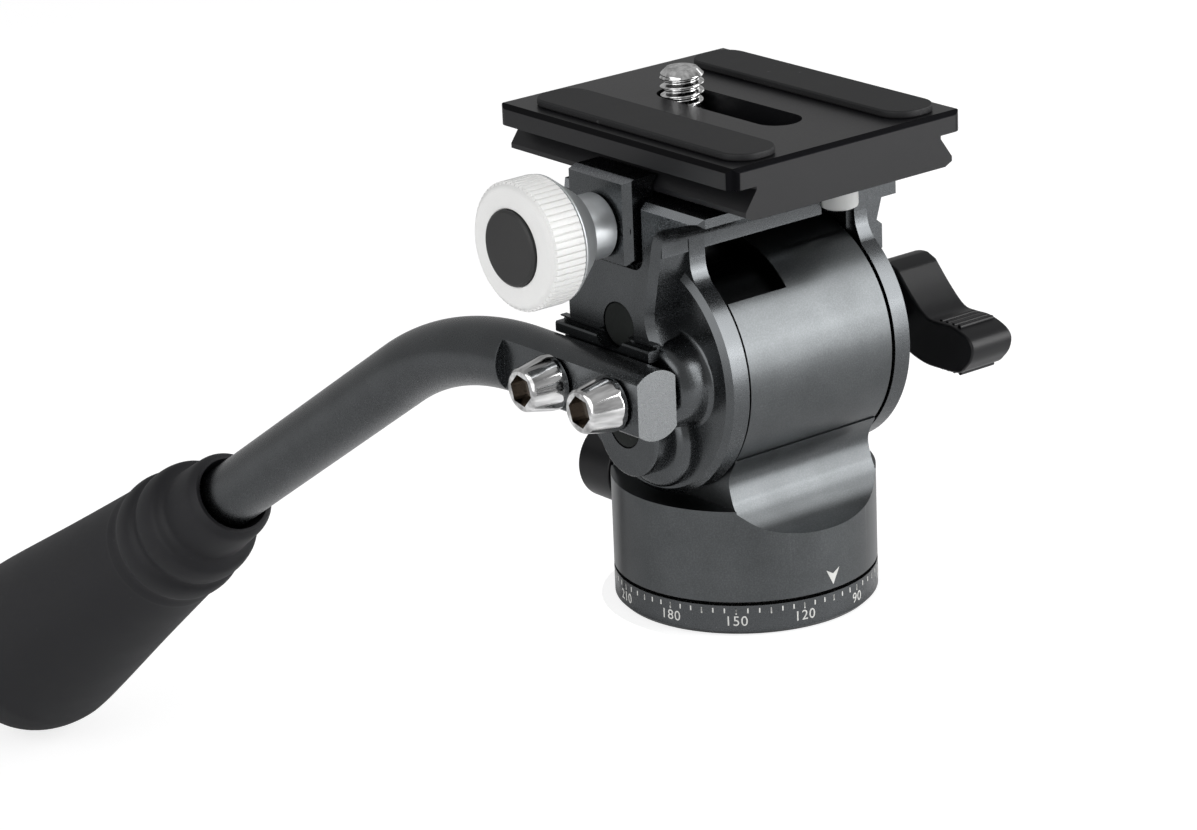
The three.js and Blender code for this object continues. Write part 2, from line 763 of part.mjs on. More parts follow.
// Everything that is bored, pocketed or slotted in the tilt frame
function tiltFrameCutters() {
  const plugPlaces = plugForwards.map((forward, number) => [0, -forward, plugHeights[number]]);
  const plugBores = plugPlaces.flatMap((place) => [
    rod("x", plugRadius + gap, -jawFace - overrun, -bossOuter, sidesMid).translate(...place),
    rod("x", boltRadius + gap, -jawFace, 0, sidesSmall).translate(...place),
  ]);
  const slotOutline = roundedRectangle(
    [-jawFront - jawSlotSide, jawBack + jawSlotSide],
    [jawBottom - jawSlotBelow, bedHeight + jawSlotCorner + overrun],
    jawSlotCorner,
  );
  const clampPlace = [0, clampBack, clampHeight];
  const springPocket = rod("x", springPocketRadius, -jawSlotInner - overrun, -jawSlotInner + springPocketDepth);
  const stopPinHole = rod("z", stopPinRadius + gap, bridgeUnderside - overrun, stopPinTop + gap, sidesSmall);
  const pinBores = [-1, 1].map((sign) => {
    const bore = rod("x", guidePinRadius + gap, -jawSlotInner - overrun, -guidePinInner, sidesSmall);
    return bore.translate(0, clampBack + sign * guidePinSpacing, clampHeight);
  });
  const screwBores = coneScrewBacks.map((back) => {
    const bore = rod("x", coneScrewShankRadius + gap, -jawFace - overrun, -coneScrewEnd + gap, sidesSmall);
    return bore.translate(0, back, barHeight);
  });
  return [
    rod("x", axleFlangeRadius + gap, -flangeOuter - gap, -cheekInner + overrun, sidesMid),
    rod("x", studRadius + gap, 0, rightArmFace + overrun, sidesSmall),
    prism("x", slotOutline, -jawFace - overrun, -jawSlotInner),
    springPocket.translate(...clampPlace),
    rod("x", clampScrewRadius + gap, -jawFace, -clampScrewEnd + gap, sidesSmall).translate(...clampPlace),
    stopPinHole.translate(-stopPinLeft, stopPinRear, 0),
    rod("z", vialRadius + gap, 0, vialTop + gap).translate(vialRight, -vialForward, 0),
    ...plugBores,
    ...pinBores,
    ...screwBores,
  ];
}

// A helical spring along X between two places, one closed tube with flat ends
class SpringPath extends THREE.Curve {
  constructor(from, to) {
    super();
    this.from = from;
    this.to = to;
  }

  getPoint(share) {
    const angle = share * springTurns * 2 * Math.PI;
    const x = THREE.MathUtils.lerp(this.from, this.to, share);
    return new THREE.Vector3(x, springRadius * Math.cos(angle), springRadius * Math.sin(angle));
  }
}

// The pan bar's middle line: straight through its seat, a bend and a straight run to the grip
class BarPath extends THREE.Curve {
  constructor() {
    super();
    this.bendLength = barBendRadius * radians(barBendDegrees);
    this.first = barFront + barBendStart;
    this.length = this.first + this.bendLength + gripStart + barInGrip;
  }

  getPoint(share) {
    const place = share * this.length - this.first;
    const angle = THREE.MathUtils.clamp(place, 0, this.bendLength) / barBendRadius;
    const beyond = Math.max(place - this.bendLength, 0);
    const before = Math.min(place, 0);
    const y = barBendStart + before + barBendRadius * Math.sin(angle) + beyond * Math.cos(angle);
    const z = barHeight - barBendRadius * (1 - Math.cos(angle)) - beyond * Math.sin(angle);
    return new THREE.Vector3(-barOut, y, z);
  }
}

function circle(radius, sides) {
  const points = [...Array(sides).keys()].map((number) => {
    const angle = (number * 2 * Math.PI) / sides;
    return new THREE.Vector2(radius * Math.cos(angle), radius * Math.sin(angle));
  });
  return new THREE.Shape(points);
}

function makePanBar(parent) {
  const path = new BarPath();
  const sweep = new THREE.ExtrudeGeometry(circle(barRadius, sidesMid), { steps: barSteps, extrudePath: path });
  const flatSpan = [-barFront - overrun, barFlatRear];
  const flatRise = [barHeight - barRadius - overrun, barHeight + barRadius + overrun];
  const flats = [
    block([-barOut - barRadius - overrun, -barOut - barFlatOuter], flatSpan, flatRise),
    block([-barOut + barFlatInner, -barOut + barRadius + overrun], flatSpan, flatRise),
  ];
  const bores = coneScrewBacks.map((back) => {
    const bore = rod("x", coneScrewShankRadius + gap, -barOut - barRadius, -barOut + barRadius, sidesSmall);
    return bore.translate(0, back, barHeight);
  });
  piece(parent, "pan_bar", anodisedGrey(), cut(sweep, ...flats, ...bores));

  coneScrewBacks.forEach((back, number) => {
    const seat = -barOut - barFlatOuter - gap;
    const screw = turned("x", [
      [-coneScrewFace, 0],
      [-coneScrewFace, coneScrewTipRadius],
      [seat - coneScrewTipRadius / 3, coneScrewBaseRadius],
      [seat, coneScrewBaseRadius],
      [seat, coneScrewShankRadius],
      [-coneScrewEnd, coneScrewShankRadius],
      [-coneScrewEnd, 0],
    ], sidesMid);
    const hexFloor = -coneScrewFace + coneScrewHexDepth;
    const hex = rod("x", coneScrewHexRadius, -coneScrewFace - overrun, hexFloor, hexSides);
    const name = ["bar_screw_rear", "bar_screw_front"][number];
    piece(parent, name, polishedSteel(), cut(screw, hex)).position.set(0, back, barHeight);
  });

  const profile = gripShares.map(([place, radius]) => [place * gripLength, radius * gripRadius]);
  const boreEnd = barInGrip + gap;
  const boreWall = barRadius + gap;
  const start = path.getPoint((path.first + path.bendLength + gripStart) / path.length);
  const grip = piece(parent, "bar_grip", blackRubber(), gripSolid(profile, boreWall, boreEnd));
  grip.position.copy(start);
  grip.rotation.x = -radians(barBendDegrees);
}

// The grip about its own mouth, along +Y: a leaning sleeve with a straight bore for the bar
function gripSolid(profile, boreWall, boreEnd) {
  const sleeve = turned("y", [[0, 0], ...profile], sidesMid).rotateX(-radians(gripLeanDegrees));
  const bore = rod("y", boreWall, -overrun, boreEnd);
  const funnel = [[-overrun, 0], [-overrun, gripMouthRadius], [gripMouthDepth, boreWall], [gripMouthDepth, 0]];
  const mouth = turned("y", funnel, sidesMid);
  return cut(sleeve, bore, mouth);
}

function makeTiltFrame(parent) {
  piece(parent, "tilt_frame", anodisedGrey(), cut(tiltFrameSolid(), ...tiltFrameCutters()));

  plugForwards.forEach((forward, number) => {
    const plug = rod("x", plugRadius, -sideFace - plugProud, -sideFace - plugProud + plugThickness);
    const name = ["bolt_plug_upper", "bolt_plug_lower"][number];
    piece(parent, name, blackRubber(), plug).position.set(0, -forward, plugHeights[number]);
  });
  const headTop = sideFace + plugProud - plugThickness - gap;
  plugForwards.forEach((forward, number) => {
    const bolt = turned("x", [
      [-headTop, 0],
      [-headTop, boltHeadRadius],
      [-headTop + boltHeadHeight, boltHeadRadius],
      [-headTop + boltHeadHeight, boltRadius],
      [-cheekInner - gap, boltRadius],
      [-cheekInner - gap, 0],
    ], sidesSmall);
    const name = ["axle_bolt_upper", "axle_bolt_lower"][number];
    piece(parent, name, satinSteel(), bolt).position.set(0, -forward, plugHeights[number]);
  });

  const axle = join(
    rod("x", axleRadius, -cheekInner - gap, axleEnd),
    rod("x", axleFlangeRadius, -flangeOuter, -cheekInner - gap),
  );
  const axleBores = plugForwards.map((forward, number) => {
    return rod("x", boltRadius + gap, -sideFace, 0, sidesSmall).translate(0, -forward, plugHeights[number]);
  });
  const studHole = rod("x", studRadius + gap, axleEnd - tiltStudInAxle - gap, axleEnd + overrun, sidesSmall);
  piece(parent, "tilt_axle", satinSteel(), cut(axle, studHole, ...axleBores));

  const discs = [...Array(rotorDiscCount).keys()].map((number) => {
    const middle = (number - (rotorDiscCount - 1) / 2) * rotorDiscPitch;
    const discRadius = drumBoreRadius - gap - cupWall - gap;
    return rod("x", discRadius, middle - rotorDiscThickness / 2, middle + rotorDiscThickness / 2);
  });
  const hubEnd = drumHalfWidth - gap - cupEndThickness - gap;
  const hub = rod("x", rotorHubRadius, -hubEnd, hubEnd);
  const rotorBore = rod("x", axleRadius + gap, -drumHalfWidth, drumHalfWidth);
  piece(parent, "damper_rotor", anodisedBlack(), cut(join(hub, ...discs), rotorBore));

  const pin = rod("z", stopPinRadius, stopPinBottom, stopPinTop, sidesSmall);
  piece(parent, "stop_pin", satinSteel(), pin).position.set(-stopPinLeft, stopPinRear, 0);

  const vial = turned("z", [
    [vialBottom, 0],
    [vialBottom, vialRadius - vialEdge],
    [vialBottom + vialEdge, vialRadius],
    [vialTop, vialRadius],
    [vialTop, 0],
  ], sidesMid);
  piece(parent, "level_vial", clearAcrylic(), vial).position.set(vialRight, -vialForward, 0);

  const pinOuter = jawFace - guidePinRadius;
  for (const [side, sign] of [["front", -1], ["rear", 1]]) {
    const guide = rod("x", guidePinRadius, -pinOuter, -guidePinInner - gap, sidesSmall);
    const pinBack = clampBack + sign * guidePinSpacing;
    piece(parent, `jaw_guide_pin_${side}`, satinSteel(), guide).position.set(0, pinBack, clampHeight);
  }
}

function makeTiltLock(parent) {
  const washerFrom = rightArmFace + gap;
  const washerTo = washerFrom + tiltWasherThickness;
  const washer = tube("x", tiltWasherRadius, studRadius + gap, washerFrom, washerTo);
  piece(parent, "tilt_lever_washer", satinSteel(), washer);
  const studEnd = tiltLeverFrom + leverWidth / 2;
  piece(parent, "tilt_lock_lever", blackPlastic(), lever(washerTo + gap, tiltLeverFrom, studEnd));
  const stud = rod("x", studRadius, axleEnd - tiltStudInAxle, studEnd, sidesSmall);
  piece(parent, "tilt_lock_stud", satinSteel(), stud);
}

function makeClamp(parent) {
  const [foot, top] = flank();
  const outline = [
    [jawFace, jawBottom],
    [jawInner, jawBottom],
    [jawInner, bedHeight + gap],
    [foot[0], bedHeight + gap],
    foot,
    top,
    [jawFace - jawChamferX, jawTop],
    [jawFace, jawTop - jawChamferZ],
  ];
  const jaw = prism("y", outline.map(([x, z]) => [z, -x]), -jawFront, jawBack);
  const screwBore = rod("x", clampScrewRadius + gap, -jawFace - overrun, 0, sidesSmall);
  screwBore.translate(0, clampBack, clampHeight);
  const pinOuter = jawFace - guidePinRadius;
  const pinBores = [-1, 1].map((sign) => {
    const bore = rod("x", guidePinRadius + gap, -pinOuter - gap, -jawInner + overrun, sidesSmall);
    return bore.translate(0, clampBack + sign * guidePinSpacing, clampHeight);
  });
  piece(parent, "clamp_jaw", anodisedGrey(), cut(jaw, screwBore, ...pinBores));

  const springFrom = -jawInner + springWire + gap;
  const springTo = -jawSlotInner + springPocketDepth - springWire - gap;
  const spring = new THREE.ExtrudeGeometry(circle(springWire, springSides), {
    steps: springTurns * springStepsPerTurn,
    extrudePath: new SpringPath(springFrom, springTo),
  });
  piece(parent, "jaw_spring", satinSteel(), spring).position.set(0, clampBack, clampHeight);
}

// The knob about its own axis, with grooves cut between its knurls
function makeKnob(parent) {
  const bodyBack = jawFace + gap;
  const capSeat = knobFace - knobCapDepth;
  const body = turned("x", [
    [-knobFace, 0],
    [-knobFace, knobFaceRadius],
    [-knobFace + knobEdge, knobRadius],
    [-knobKnurlEnd, knobRadius],
    [-knobBack, knobBackRadius],
    [-knobBack, 0],
  ], knurlCount);
  const grooves = [...Array(knurlCount).keys()].map((number) => {
    const groove = rod("x", knurlDepth, -knobFace - overrun, -knobKnurlEnd, grooveSides);
    return groove.translate(0, knobRadius, 0).rotateX(((number + 1 / 2) * 2 * Math.PI) / knurlCount);
  });
  const capRecess = rod("x", knobCapRadius + gap, -knobFace - overrun, -capSeat);
  const screwHole = rod("x", clampScrewRadius + gap, -knobFace, -knobBack + overrun, sidesSmall);
  piece(parent, "knob_body", whiteEnamel(), cut(body, ...grooves, capRecess, screwHole));
  const cap = rod("x", knobCapRadius, -knobFace - knobCapProud, -capSeat - gap);
  piece(parent, "knob_cap", blackPlastic(), cap);
  const boss = tube("x", knobBossRadius, clampScrewRadius + gap, -knobBack + gap, -bodyBack);
  piece(parent, "knob_boss", satinSteel(), boss);
  const screw = rod("x", clampScrewRadius, -capSeat + gap, -clampScrewEnd, sidesSmall);
  piece(parent, "clamp_screw", satinSteel(), screw);
}

function makePlate(parent) {
  const half = [
    [plateBottomHalfWidth, plateBottom],
    [tailHalfWidth, tailLow],
    [tailHalfWidth, tailHigh],
    [notchHalfWidth, notchHeight],
    [notchHalfWidth, slabBottom],
    [plateHalfWidth, slabBottom],
    [plateHalfWidth, plateTop - plateEdge],
    [plateHalfWidth - plateEdge, plateTop],
  ];
  const section = [...half, ...half.map(([x, z]) => [-x, z]).reverse()];
  const bar = prism("y", section.map(([x, z]) => [z, x]), -plateFront, plateBack);
  const plan = roundedRectangle([-plateHalfWidth, plateHalfWidth], [-plateFront, plateBack], plateCorner);
  const blank = common(bar, prism("z", plan, plateBottom - overrun, plateTop + overrun));
  const slotCorner = slotHalfWidth - mergeTolerance;
  const slot = roundedRectangle([-slotHalfWidth, slotHalfWidth], [-slotFront, slotBack], slotCorner);
  const recess = roundedRectangle(
    [-recessHalfWidth, recessHalfWidth],
    [-slotFront - recessOverlap, slotBack + recessOverlap],
    recessCorner,
  );
  const plate = cut(
    blank,
    prism("z", slot, plateBottom - overrun, plateTop + overrun),
    prism("z", recess, plateBottom - overrun, plateBottom + recessDepth),
  );
  piece(parent, "camera_plate", anodisedBlack(), plate);
  for (const [side, ends] of [["left", [-padOuter, -padInner]], ["right", [padInner, padOuter]]]) {
    const pad = roundedRectangle(ends, [-padFront, padBack], padCorner);
    piece(parent, `plate_pad_${side}`, blackRubber(), prism("z", pad, plateTop, plateTop + padHeight));
  }
}

function makeCameraScrew(parent) {
  const headTop = plateBottom + screwHeadInset + screwHeadHeight;
  const washerBottom = headTop + gap;
  const washerTop = washerBottom + screwWasherThickness;
  const washer = tube("z", screwWasherRadius, screwRadius + gap, washerBottom, washerTop);
  piece(parent, "screw_washer", blackRubber(), washer).position.set(0, screwBack, 0);
  const profile = [
    [plateBottom + screwHeadInset, 0],
    [plateBottom + screwHeadInset, screwHeadRadius],
    [headTop, screwHeadRadius],
    [headTop, screwRadius],
  ];
  const threadFrom = plateTop - threadPitch;
  const threads = Math.floor((screwTop - threadFrom) / threadPitch);
  for (let number = 0; number < threads; number += 1) {
    const crest = threadFrom + number * threadPitch;
    profile.push([crest, screwRadius], [crest + threadPitch / 2, screwRadius - threadDepth]);
  }
  profile.push([screwTop - threadPitch / 2, screwRadius], [screwTop, screwRadius - threadDepth], [screwTop, 0]);
  const slot = block(
    [-screwSlotWidth / 2, screwSlotWidth / 2],
    [-screwHeadRadius - overrun, screwHeadRadius + overrun],
    [plateBottom, plateBottom + screwHeadInset + screwHeadHeight / 2],
  );
  const screw = cut(turned("z", profile, sidesMid), slot);
  piece(parent, "camera_screw", polishedSteel(), screw).position.set(0, screwBack, 0);
}

const head = new THREE.Group();
makeBase(head);
makePanHousing(head);
makePanLock(head);

// The tilting half, about the tilt axis
const tilting = new THREE.Group();
tilting.position.set(0, 0, tiltAxisHeight);
head.add(tilting);
makeDamper(tilting);
makeTiltFrame(tilting);
makePanBar(tilting);
makeTiltLock(tilting);
makeClamp(tilting);
makePlate(tilting);
makeCameraScrew(tilting);

const knob = new THREE.Group();
knob.position.set(0, clampBack, clampHeight);
tilting.add(knob);
makeKnob(knob);

export default head;
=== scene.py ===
"""Looks for a compact fluid video head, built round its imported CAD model.

Every size here is in millimetres in the model's own frame: the origin is on the pan axis at the underside
of the base, X is the tilt axis and the operator stands at +Y. A form becomes metres when it is made a piece.
"""

from __future__ import annotations

import json
import logging
import math
from collections.abc import Sequence
from dataclasses import dataclass
from enum import Enum
from typing import Any

import bmesh
import bpy
from mathutils import Matrix, Vector

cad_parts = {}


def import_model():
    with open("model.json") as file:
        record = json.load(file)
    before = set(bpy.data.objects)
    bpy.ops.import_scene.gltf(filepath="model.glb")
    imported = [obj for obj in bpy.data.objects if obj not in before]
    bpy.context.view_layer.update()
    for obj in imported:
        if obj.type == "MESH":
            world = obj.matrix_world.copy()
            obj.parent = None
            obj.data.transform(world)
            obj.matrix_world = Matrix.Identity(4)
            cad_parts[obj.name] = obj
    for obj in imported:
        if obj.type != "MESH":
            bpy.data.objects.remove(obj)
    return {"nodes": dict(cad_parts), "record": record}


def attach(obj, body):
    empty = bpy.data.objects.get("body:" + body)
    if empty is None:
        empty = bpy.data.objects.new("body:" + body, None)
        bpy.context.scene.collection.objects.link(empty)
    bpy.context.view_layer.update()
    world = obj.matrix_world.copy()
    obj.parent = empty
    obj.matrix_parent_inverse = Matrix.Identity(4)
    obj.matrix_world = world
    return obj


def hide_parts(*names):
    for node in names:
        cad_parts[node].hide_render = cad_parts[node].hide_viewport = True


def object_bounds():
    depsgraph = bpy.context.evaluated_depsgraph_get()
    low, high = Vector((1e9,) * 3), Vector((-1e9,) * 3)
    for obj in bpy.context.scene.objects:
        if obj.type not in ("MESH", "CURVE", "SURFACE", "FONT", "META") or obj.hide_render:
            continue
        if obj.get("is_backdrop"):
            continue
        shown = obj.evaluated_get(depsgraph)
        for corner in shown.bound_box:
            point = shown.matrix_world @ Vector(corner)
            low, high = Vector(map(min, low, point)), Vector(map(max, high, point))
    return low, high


LOG = logging.getLogger("video_head")
METRES = 0.001
WELD = 0.0005
GAP = 0.3
OVERRUN = 2.0
TILT_HEIGHT = 37.09
BAR_HEIGHT = 0.61
STUD_BORE = 2.8
PIN_BORE = 1.3
BOLT_BORE = 1.8
SIDES_FINE = 192
SIDES_MID = 96
SIDES_SMALL = 48
SPLINE_STEPS = 12
SWEEP_STEPS = 5
HUB_STEPS = 40
MIX_COLOURS = (6, 7)
MIX_RESULT = 2

Pair = tuple[float, float]
Triple = tuple[float, float, float]
Outline = tuple[Pair, ...]
Box = tuple[float, float, float, float, float]

EVEN: Triple = (1.0, 1.0, 1.0)
BAR_SCREWS: Pair = (4.35, -8.45)
JAW_PINS: Pair = (-3.7, 5.7)
CLAMP_PLACE: Pair = (1.0, 22.56)
JAW_TOP = 29.86
JAW_THROAT: Outline = ((JAW_TOP, 18.175), (28.435, 19.2))


class Axis(Enum):
    """The axis that a form is turned about or drawn out along."""

    X = "x"
    Y = "y"
    Z = "z"

    def place(self, across: float, up: float, along: float) -> Triple:
        """Turns a place about the axis into a place in the model.

        Args:
            across: The first coordinate square to the axis.
            up: The second coordinate square to the axis.
            along: The place along the axis.

        Returns:
            The place as x, y and z.
        """
        if self is Axis.X:
            return along, across, up
        if self is Axis.Y:
            return up, along, across
        return across, up, along

    def turn(self, degrees: float) -> Matrix:
        """Returns the turn about this axis by an angle in degrees."""
        return Matrix.Rotation(math.radians(degrees), 4, self.name)


class Mode(Enum):
    """How one form is combined with others."""

    JOIN = "UNION"
    CUT = "DIFFERENCE"
    COMMON = "INTERSECT"


class Body(Enum):
    """The moving bodies of the head."""

    BASE = "base"
    PAN = "pan"
    PAN_LEVER = "pan_lever"
    TILT = "tilt"
    TILT_LEVER = "tilt_lever"
    JAW = "jaw"
    KNOB = "knob"
    PLATE = "plate"
    SCREW_CARRIAGE = "screw_carriage"
    CAMERA_SCREW = "camera_screw"


def curved(points: Sequence[Pair], steps: int = SPLINE_STEPS) -> list[Pair]:
    """Draws an even curve through the points of an open line.

    Args:
        points: The places that the curve passes.
        steps: The number of steps between two of them.

    Returns:
        The places along the curve.
    """
    ends = [points[0], *points, points[-1]]
    drawn: list[Pair] = []
    for first, second, third, fourth in zip(ends, ends[1:], ends[2:], ends[3:]):
        for step in range(steps):
            share = step / steps
            drawn.append(
                tuple(
                    second[k]
                    + share
                    * (
                        (third[k] - first[k]) / 2
                        + share * (first[k] - 2.5 * second[k] + 2 * third[k] - fourth[k] / 2)
                        + share**2 * (1.5 * second[k] - first[k] / 2 - 1.5 * third[k] + fourth[k] / 2)
                    )
                    for k in range(2)
                )
            )
    drawn.append(points[-1])
    return drawn


def arc(centre: Pair, radius: float, start: float, end: float, steps: int = SPLINE_STEPS) -> list[Pair]:
    """Draws an arc.

    Args:
        centre: The arc's centre.
        radius: The arc's radius.
        start: The angle of the first place, in degrees.
        end: The angle of the last place, in degrees.
        steps: The number of steps.

    Returns:
        The places along the arc.
    """
    turns = [math.radians(start + (end - start) * step / steps) for step in range(steps + 1)]
    return [(centre[0] + radius * math.cos(turn), centre[1] + radius * math.sin(turn)) for turn in turns]


def rounded_box(left: float, right: float, low: float, high: float, corner: float) -> list[Pair]:
    """Draws a rectangle with round corners.

    Args:
        left: The lowest first coordinate.
        right: The highest first coordinate.
        low: The lowest second coordinate.
        high: The highest second coordinate.
        corner: The radius of the corners.

    Returns:
        The outline's places.
    """
    corners = [
        ((right - corner, high - corner), 0),
        ((left + corner, high - corner), 90),
        ((left + corner, low + corner), 180),
        ((right - corner, low + corner), 270),
    ]
    outline: list[Pair] = []
    for centre, start in corners:
        for place in arc(centre, corner, start, start + 90):
            if not outline or math.dist(place, outline[-1]) > WELD:
                outline.append(place)
    return outline if math.dist(outline[0], outline[-1]) > WELD else outline[:-1]


def evaluated(host: bpy.types.Object) -> bpy.types.Mesh:
    """Applies an object's modifiers and removes the object.

    Args:
        host: The object.

    Returns:
        The mesh with its modifiers applied.
    """
    graph = bpy.context.evaluated_depsgraph_get()
    mesh = bpy.data.meshes.new_from_object(host.evaluated_get(graph), depsgraph=graph)
    bpy.data.objects.remove(host)
    return mesh


def hosted(data: bpy.types.ID, name: str = "host") -> bpy.types.Object:
    """Returns a new object in the scene that holds a mesh, a text, a lamp or a camera."""
    host = bpy.data.objects.new(name, data)
    bpy.context.scene.collection.objects.link(host)
    return host


def inset(outline: Sequence[Pair], width: float) -> list[Pair]:
    """Draws an outline in by a width.

    Args:
        outline: The outline's places.
        width: How far each side moves in.

    Returns:
        The inner outline.
    """
    count = len(outline)
    spans = [(outline[at], outline[(at + 1) % count]) for at in range(count)]
    area = sum(a[0] * b[1] - b[0] * a[1] for a, b in spans)
    sense = math.copysign(1.0, area)
    runs = [Vector((b[0] - a[0], b[1] - a[1])).normalized() for a, b in spans]
    inward = [Vector((-run.y, run.x)) * sense for run in runs]
    places = []
    for at, (a, b) in enumerate(outline):
        before, after = inward[at - 1], inward[at]
        step = (before + after) * (width / (1 + before.dot(after)))
        places.append((a + step.x, b + step.y))
    return places


def corner_wedge(corner: Pair, cut: float, inward: Pair) -> list[Pair]:
    """Draws what a chamfer cuts off a square corner.

    Args:
        corner: The corner.
        cut: The chamfer's width.
        inward: The signs of the ways from the corner into the body.

    Returns:
        The triangle's places.
    """
    beyond = 1.0
    reach = cut + 2 * beyond
    first, second = (place - sign * beyond for place, sign in zip(corner, inward))
    return [(first, second), (first + inward[0] * reach, second), (first, second + inward[1] * reach)]


class Form:
    """A closed body in millimetres that can be moved, combined and finished."""

    def __init__(self, mesh: bpy.types.Mesh) -> None:
        """Wraps a mesh."""
        self.mesh = mesh

    @classmethod
    def made(cls, points: Sequence[Triple], faces: Sequence[Sequence[int]]) -> Form:
        """Makes a form from places and faces, with doubles merged and faces pointing out.

        Args:
            points: The places of the corners.
            faces: The corners of each face.

        Returns:
            The form.
        """
        mesh = bpy.data.meshes.new("form")
        mesh.from_pydata(points, [], faces)
        return cls(mesh).cleaned()

    @classmethod
    def turned(cls, axis: Axis, profile: Sequence[Pair], sides: int = SIDES_MID) -> Form:
        """Turns a profile about an axis through the origin.

        Args:
            axis: The axis.
            profile: Pairs of a place along the axis and a radius.
            sides: The number of steps round the axis.

        Returns:
            The form.
        """
        closed = profile[0][1] > 0 or profile[-1][1] > 0
        turns = [2 * math.pi * side / sides for side in range(sides)]
        points = [
            axis.place(radius * math.cos(turn), radius * math.sin(turn), along)
            for along, radius in profile
            for turn in turns
        ]
        rows = len(profile)
        faces = []
        for row in range(rows if closed else rows - 1):
            after = (row + 1) % rows
            for side in range(sides):
                other = (side + 1) % sides
                lower, upper = row * sides, after * sides
                faces.append((lower + side, lower + other, upper + other, upper + side))
        return cls.made(points, faces)

    @classmethod
    def rod(cls, axis: Axis, radius: float, start: float, end: float, sides: int = SIDES_MID) -> Form:
        """Makes a plain rod; see turned for the arguments."""
        return cls.turned(axis, [(start, 0), (start, radius), (end, radius), (end, 0)], sides)

    @classmethod
    def prism(cls, axis: Axis, outline: Sequence[Pair], start: float, end: float) -> Form:
        """Draws an outline out along an axis.

        Args:
            axis: The axis; pairs are y, z along X, then z, x along Y and x, y along Z.
            outline: The outline's places.
            start: Where the prism starts.
            end: Where the prism ends.

        Returns:
            The form.
        """
        return cls.lofted(axis, [(start, outline), (end, outline)])

    @classmethod
    def lofted(cls, axis: Axis, sections: Sequence[tuple[float, Sequence[Pair]]]) -> Form:
        """Joins outlines of as many places each, one after another along an axis.

        Args:
            axis: The axis; see prism.
            sections: Each outline with its place along the axis.

        Returns:
            The form.
        """
        count = len(sections[0][1])
        points = [axis.place(a, b, along) for along, outline in sections for a, b in outline]
        last = len(points) - count
        faces: list[tuple[int, ...]] = [tuple(range(count)), tuple(range(last, last + count))]
        for low in range(0, last, count):
            for corner in range(count):
                other = (corner + 1) % count
                faces.append((low + corner, low + other, low + count + other, low + count + corner))
        return cls.made(points, faces)

    @classmethod
    def block(cls, x: Pair, y: Pair, z: Pair) -> Form:
        """Makes a box from its lowest and highest x, y and z."""
        outline = [(x[0], y[0]), (x[1], y[0]), (x[1], y[1]), (x[0], y[1])]
        return cls.prism(Axis.Z, outline, *z)

    def cleaned(self) -> Form:
        """Merges doubles and points the faces out."""
        work = bmesh.new()
        work.from_mesh(self.mesh)
        bmesh.ops.remove_doubles(work, verts=work.verts, dist=WELD)
        bmesh.ops.recalc_face_normals(work, faces=work.faces)
        work.to_mesh(self.mesh)
        work.free()
        return self

    def copied(self) -> Form:
        """Returns a copy."""
        return Form(self.mesh.copy())

    def moved(self, x: float = 0, y: float = 0, z: float = 0) -> Form:
        """Moves the form and returns it."""
        self.mesh.transform(Matrix.Translation((x, y, z)))
        return self

    def spun(self, axis: Axis, degrees: float) -> Form:
        """Turns the form about an axis through the origin and returns it."""
        self.mesh.transform(axis.turn(degrees))
        return self

    def combined(self, mode: Mode, *others: Form) -> Form:
        """Combines the form with others.

        Args:
            mode: How they are combined.
            *others: The other forms.

        Returns:
            The combined form.
        """
        host = hosted(self.mesh)
        tools = [hosted(other.mesh, "tool") for other in others]
        for tool in tools:
            modifier = host.modifiers.new("combine", "BOOLEAN")
            modifier.operation = mode.value
            modifier.solver = "MANIFOLD"
            modifier.object = tool
        form = Form(evaluated(host))
        for tool in tools:
            bpy.data.objects.remove(tool)
        if not form.mesh.polygons:
            LOG.warning("nothing is left of a form after %s", mode.name)
        return form

    def join(self, *others: Form) -> Form:
        """Returns the form joined with others."""
        return self.combined(Mode.JOIN, *others)

    def cut(self, *others: Form) -> Form:
        """Returns the form with others cut away."""
        return self.combined(Mode.CUT, *others)

    def common(self, other: Form) -> Form:
        """Returns what the form and another have in common."""
        return self.combined(Mode.COMMON, other)

    def bevelled(self, width: float, segments: int = 2, degrees: float = 32.0) -> Form:
        """Rounds the edges that turn by more than an angle.

        Args:
            width: The width of the rounding.
            segments: The number of steps across it.
            degrees: The least angle of a rounded edge.

        Returns:
            The rounded form.
        """
        host = hosted(self.mesh)
        modifier = host.modifiers.new("round", "BEVEL")
        modifier.width = width
        modifier.segments = segments
        modifier.limit_method = "ANGLE"
        modifier.angle_limit = math.radians(degrees)
        return Form(evaluated(host))

    def piece(
        self,
        name: str,
        finish: Finish,
        body: Body,
        replaces: Sequence[str] = (),
        sharp: float = 32.0,
    ) -> bpy.types.Object:
        """Makes the form a piece of the head.

        Args:
            name: The piece's name.
            finish: What its surface is like.
            body: The body that it moves with.
            replaces: The CAD nodes that it stands for.
            sharp: The least angle of an edge that stays sharp, in degrees.

        Returns:
            The piece's object.
        """
        mesh = self.mesh
        mesh.transform(Matrix.Scale(METRES, 4))
        mesh.shade_smooth()
        mesh.set_sharp_from_angle(angle=math.radians(sharp))
        host = hosted(mesh)
        weighted = host.modifiers.new("even shading", "WEIGHTED_NORMAL")
        weighted.keep_sharp = True
        final = evaluated(host)
        final.name = name
        final.materials.clear()
        final.materials.append(finish.material())
        piece = hosted(final, name)
        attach(piece, body.value)
        if replaces:
            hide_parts(*replaces)
        LOG.info("%s: %d faces on %s", name, len(final.polygons), body.value)
        return piece


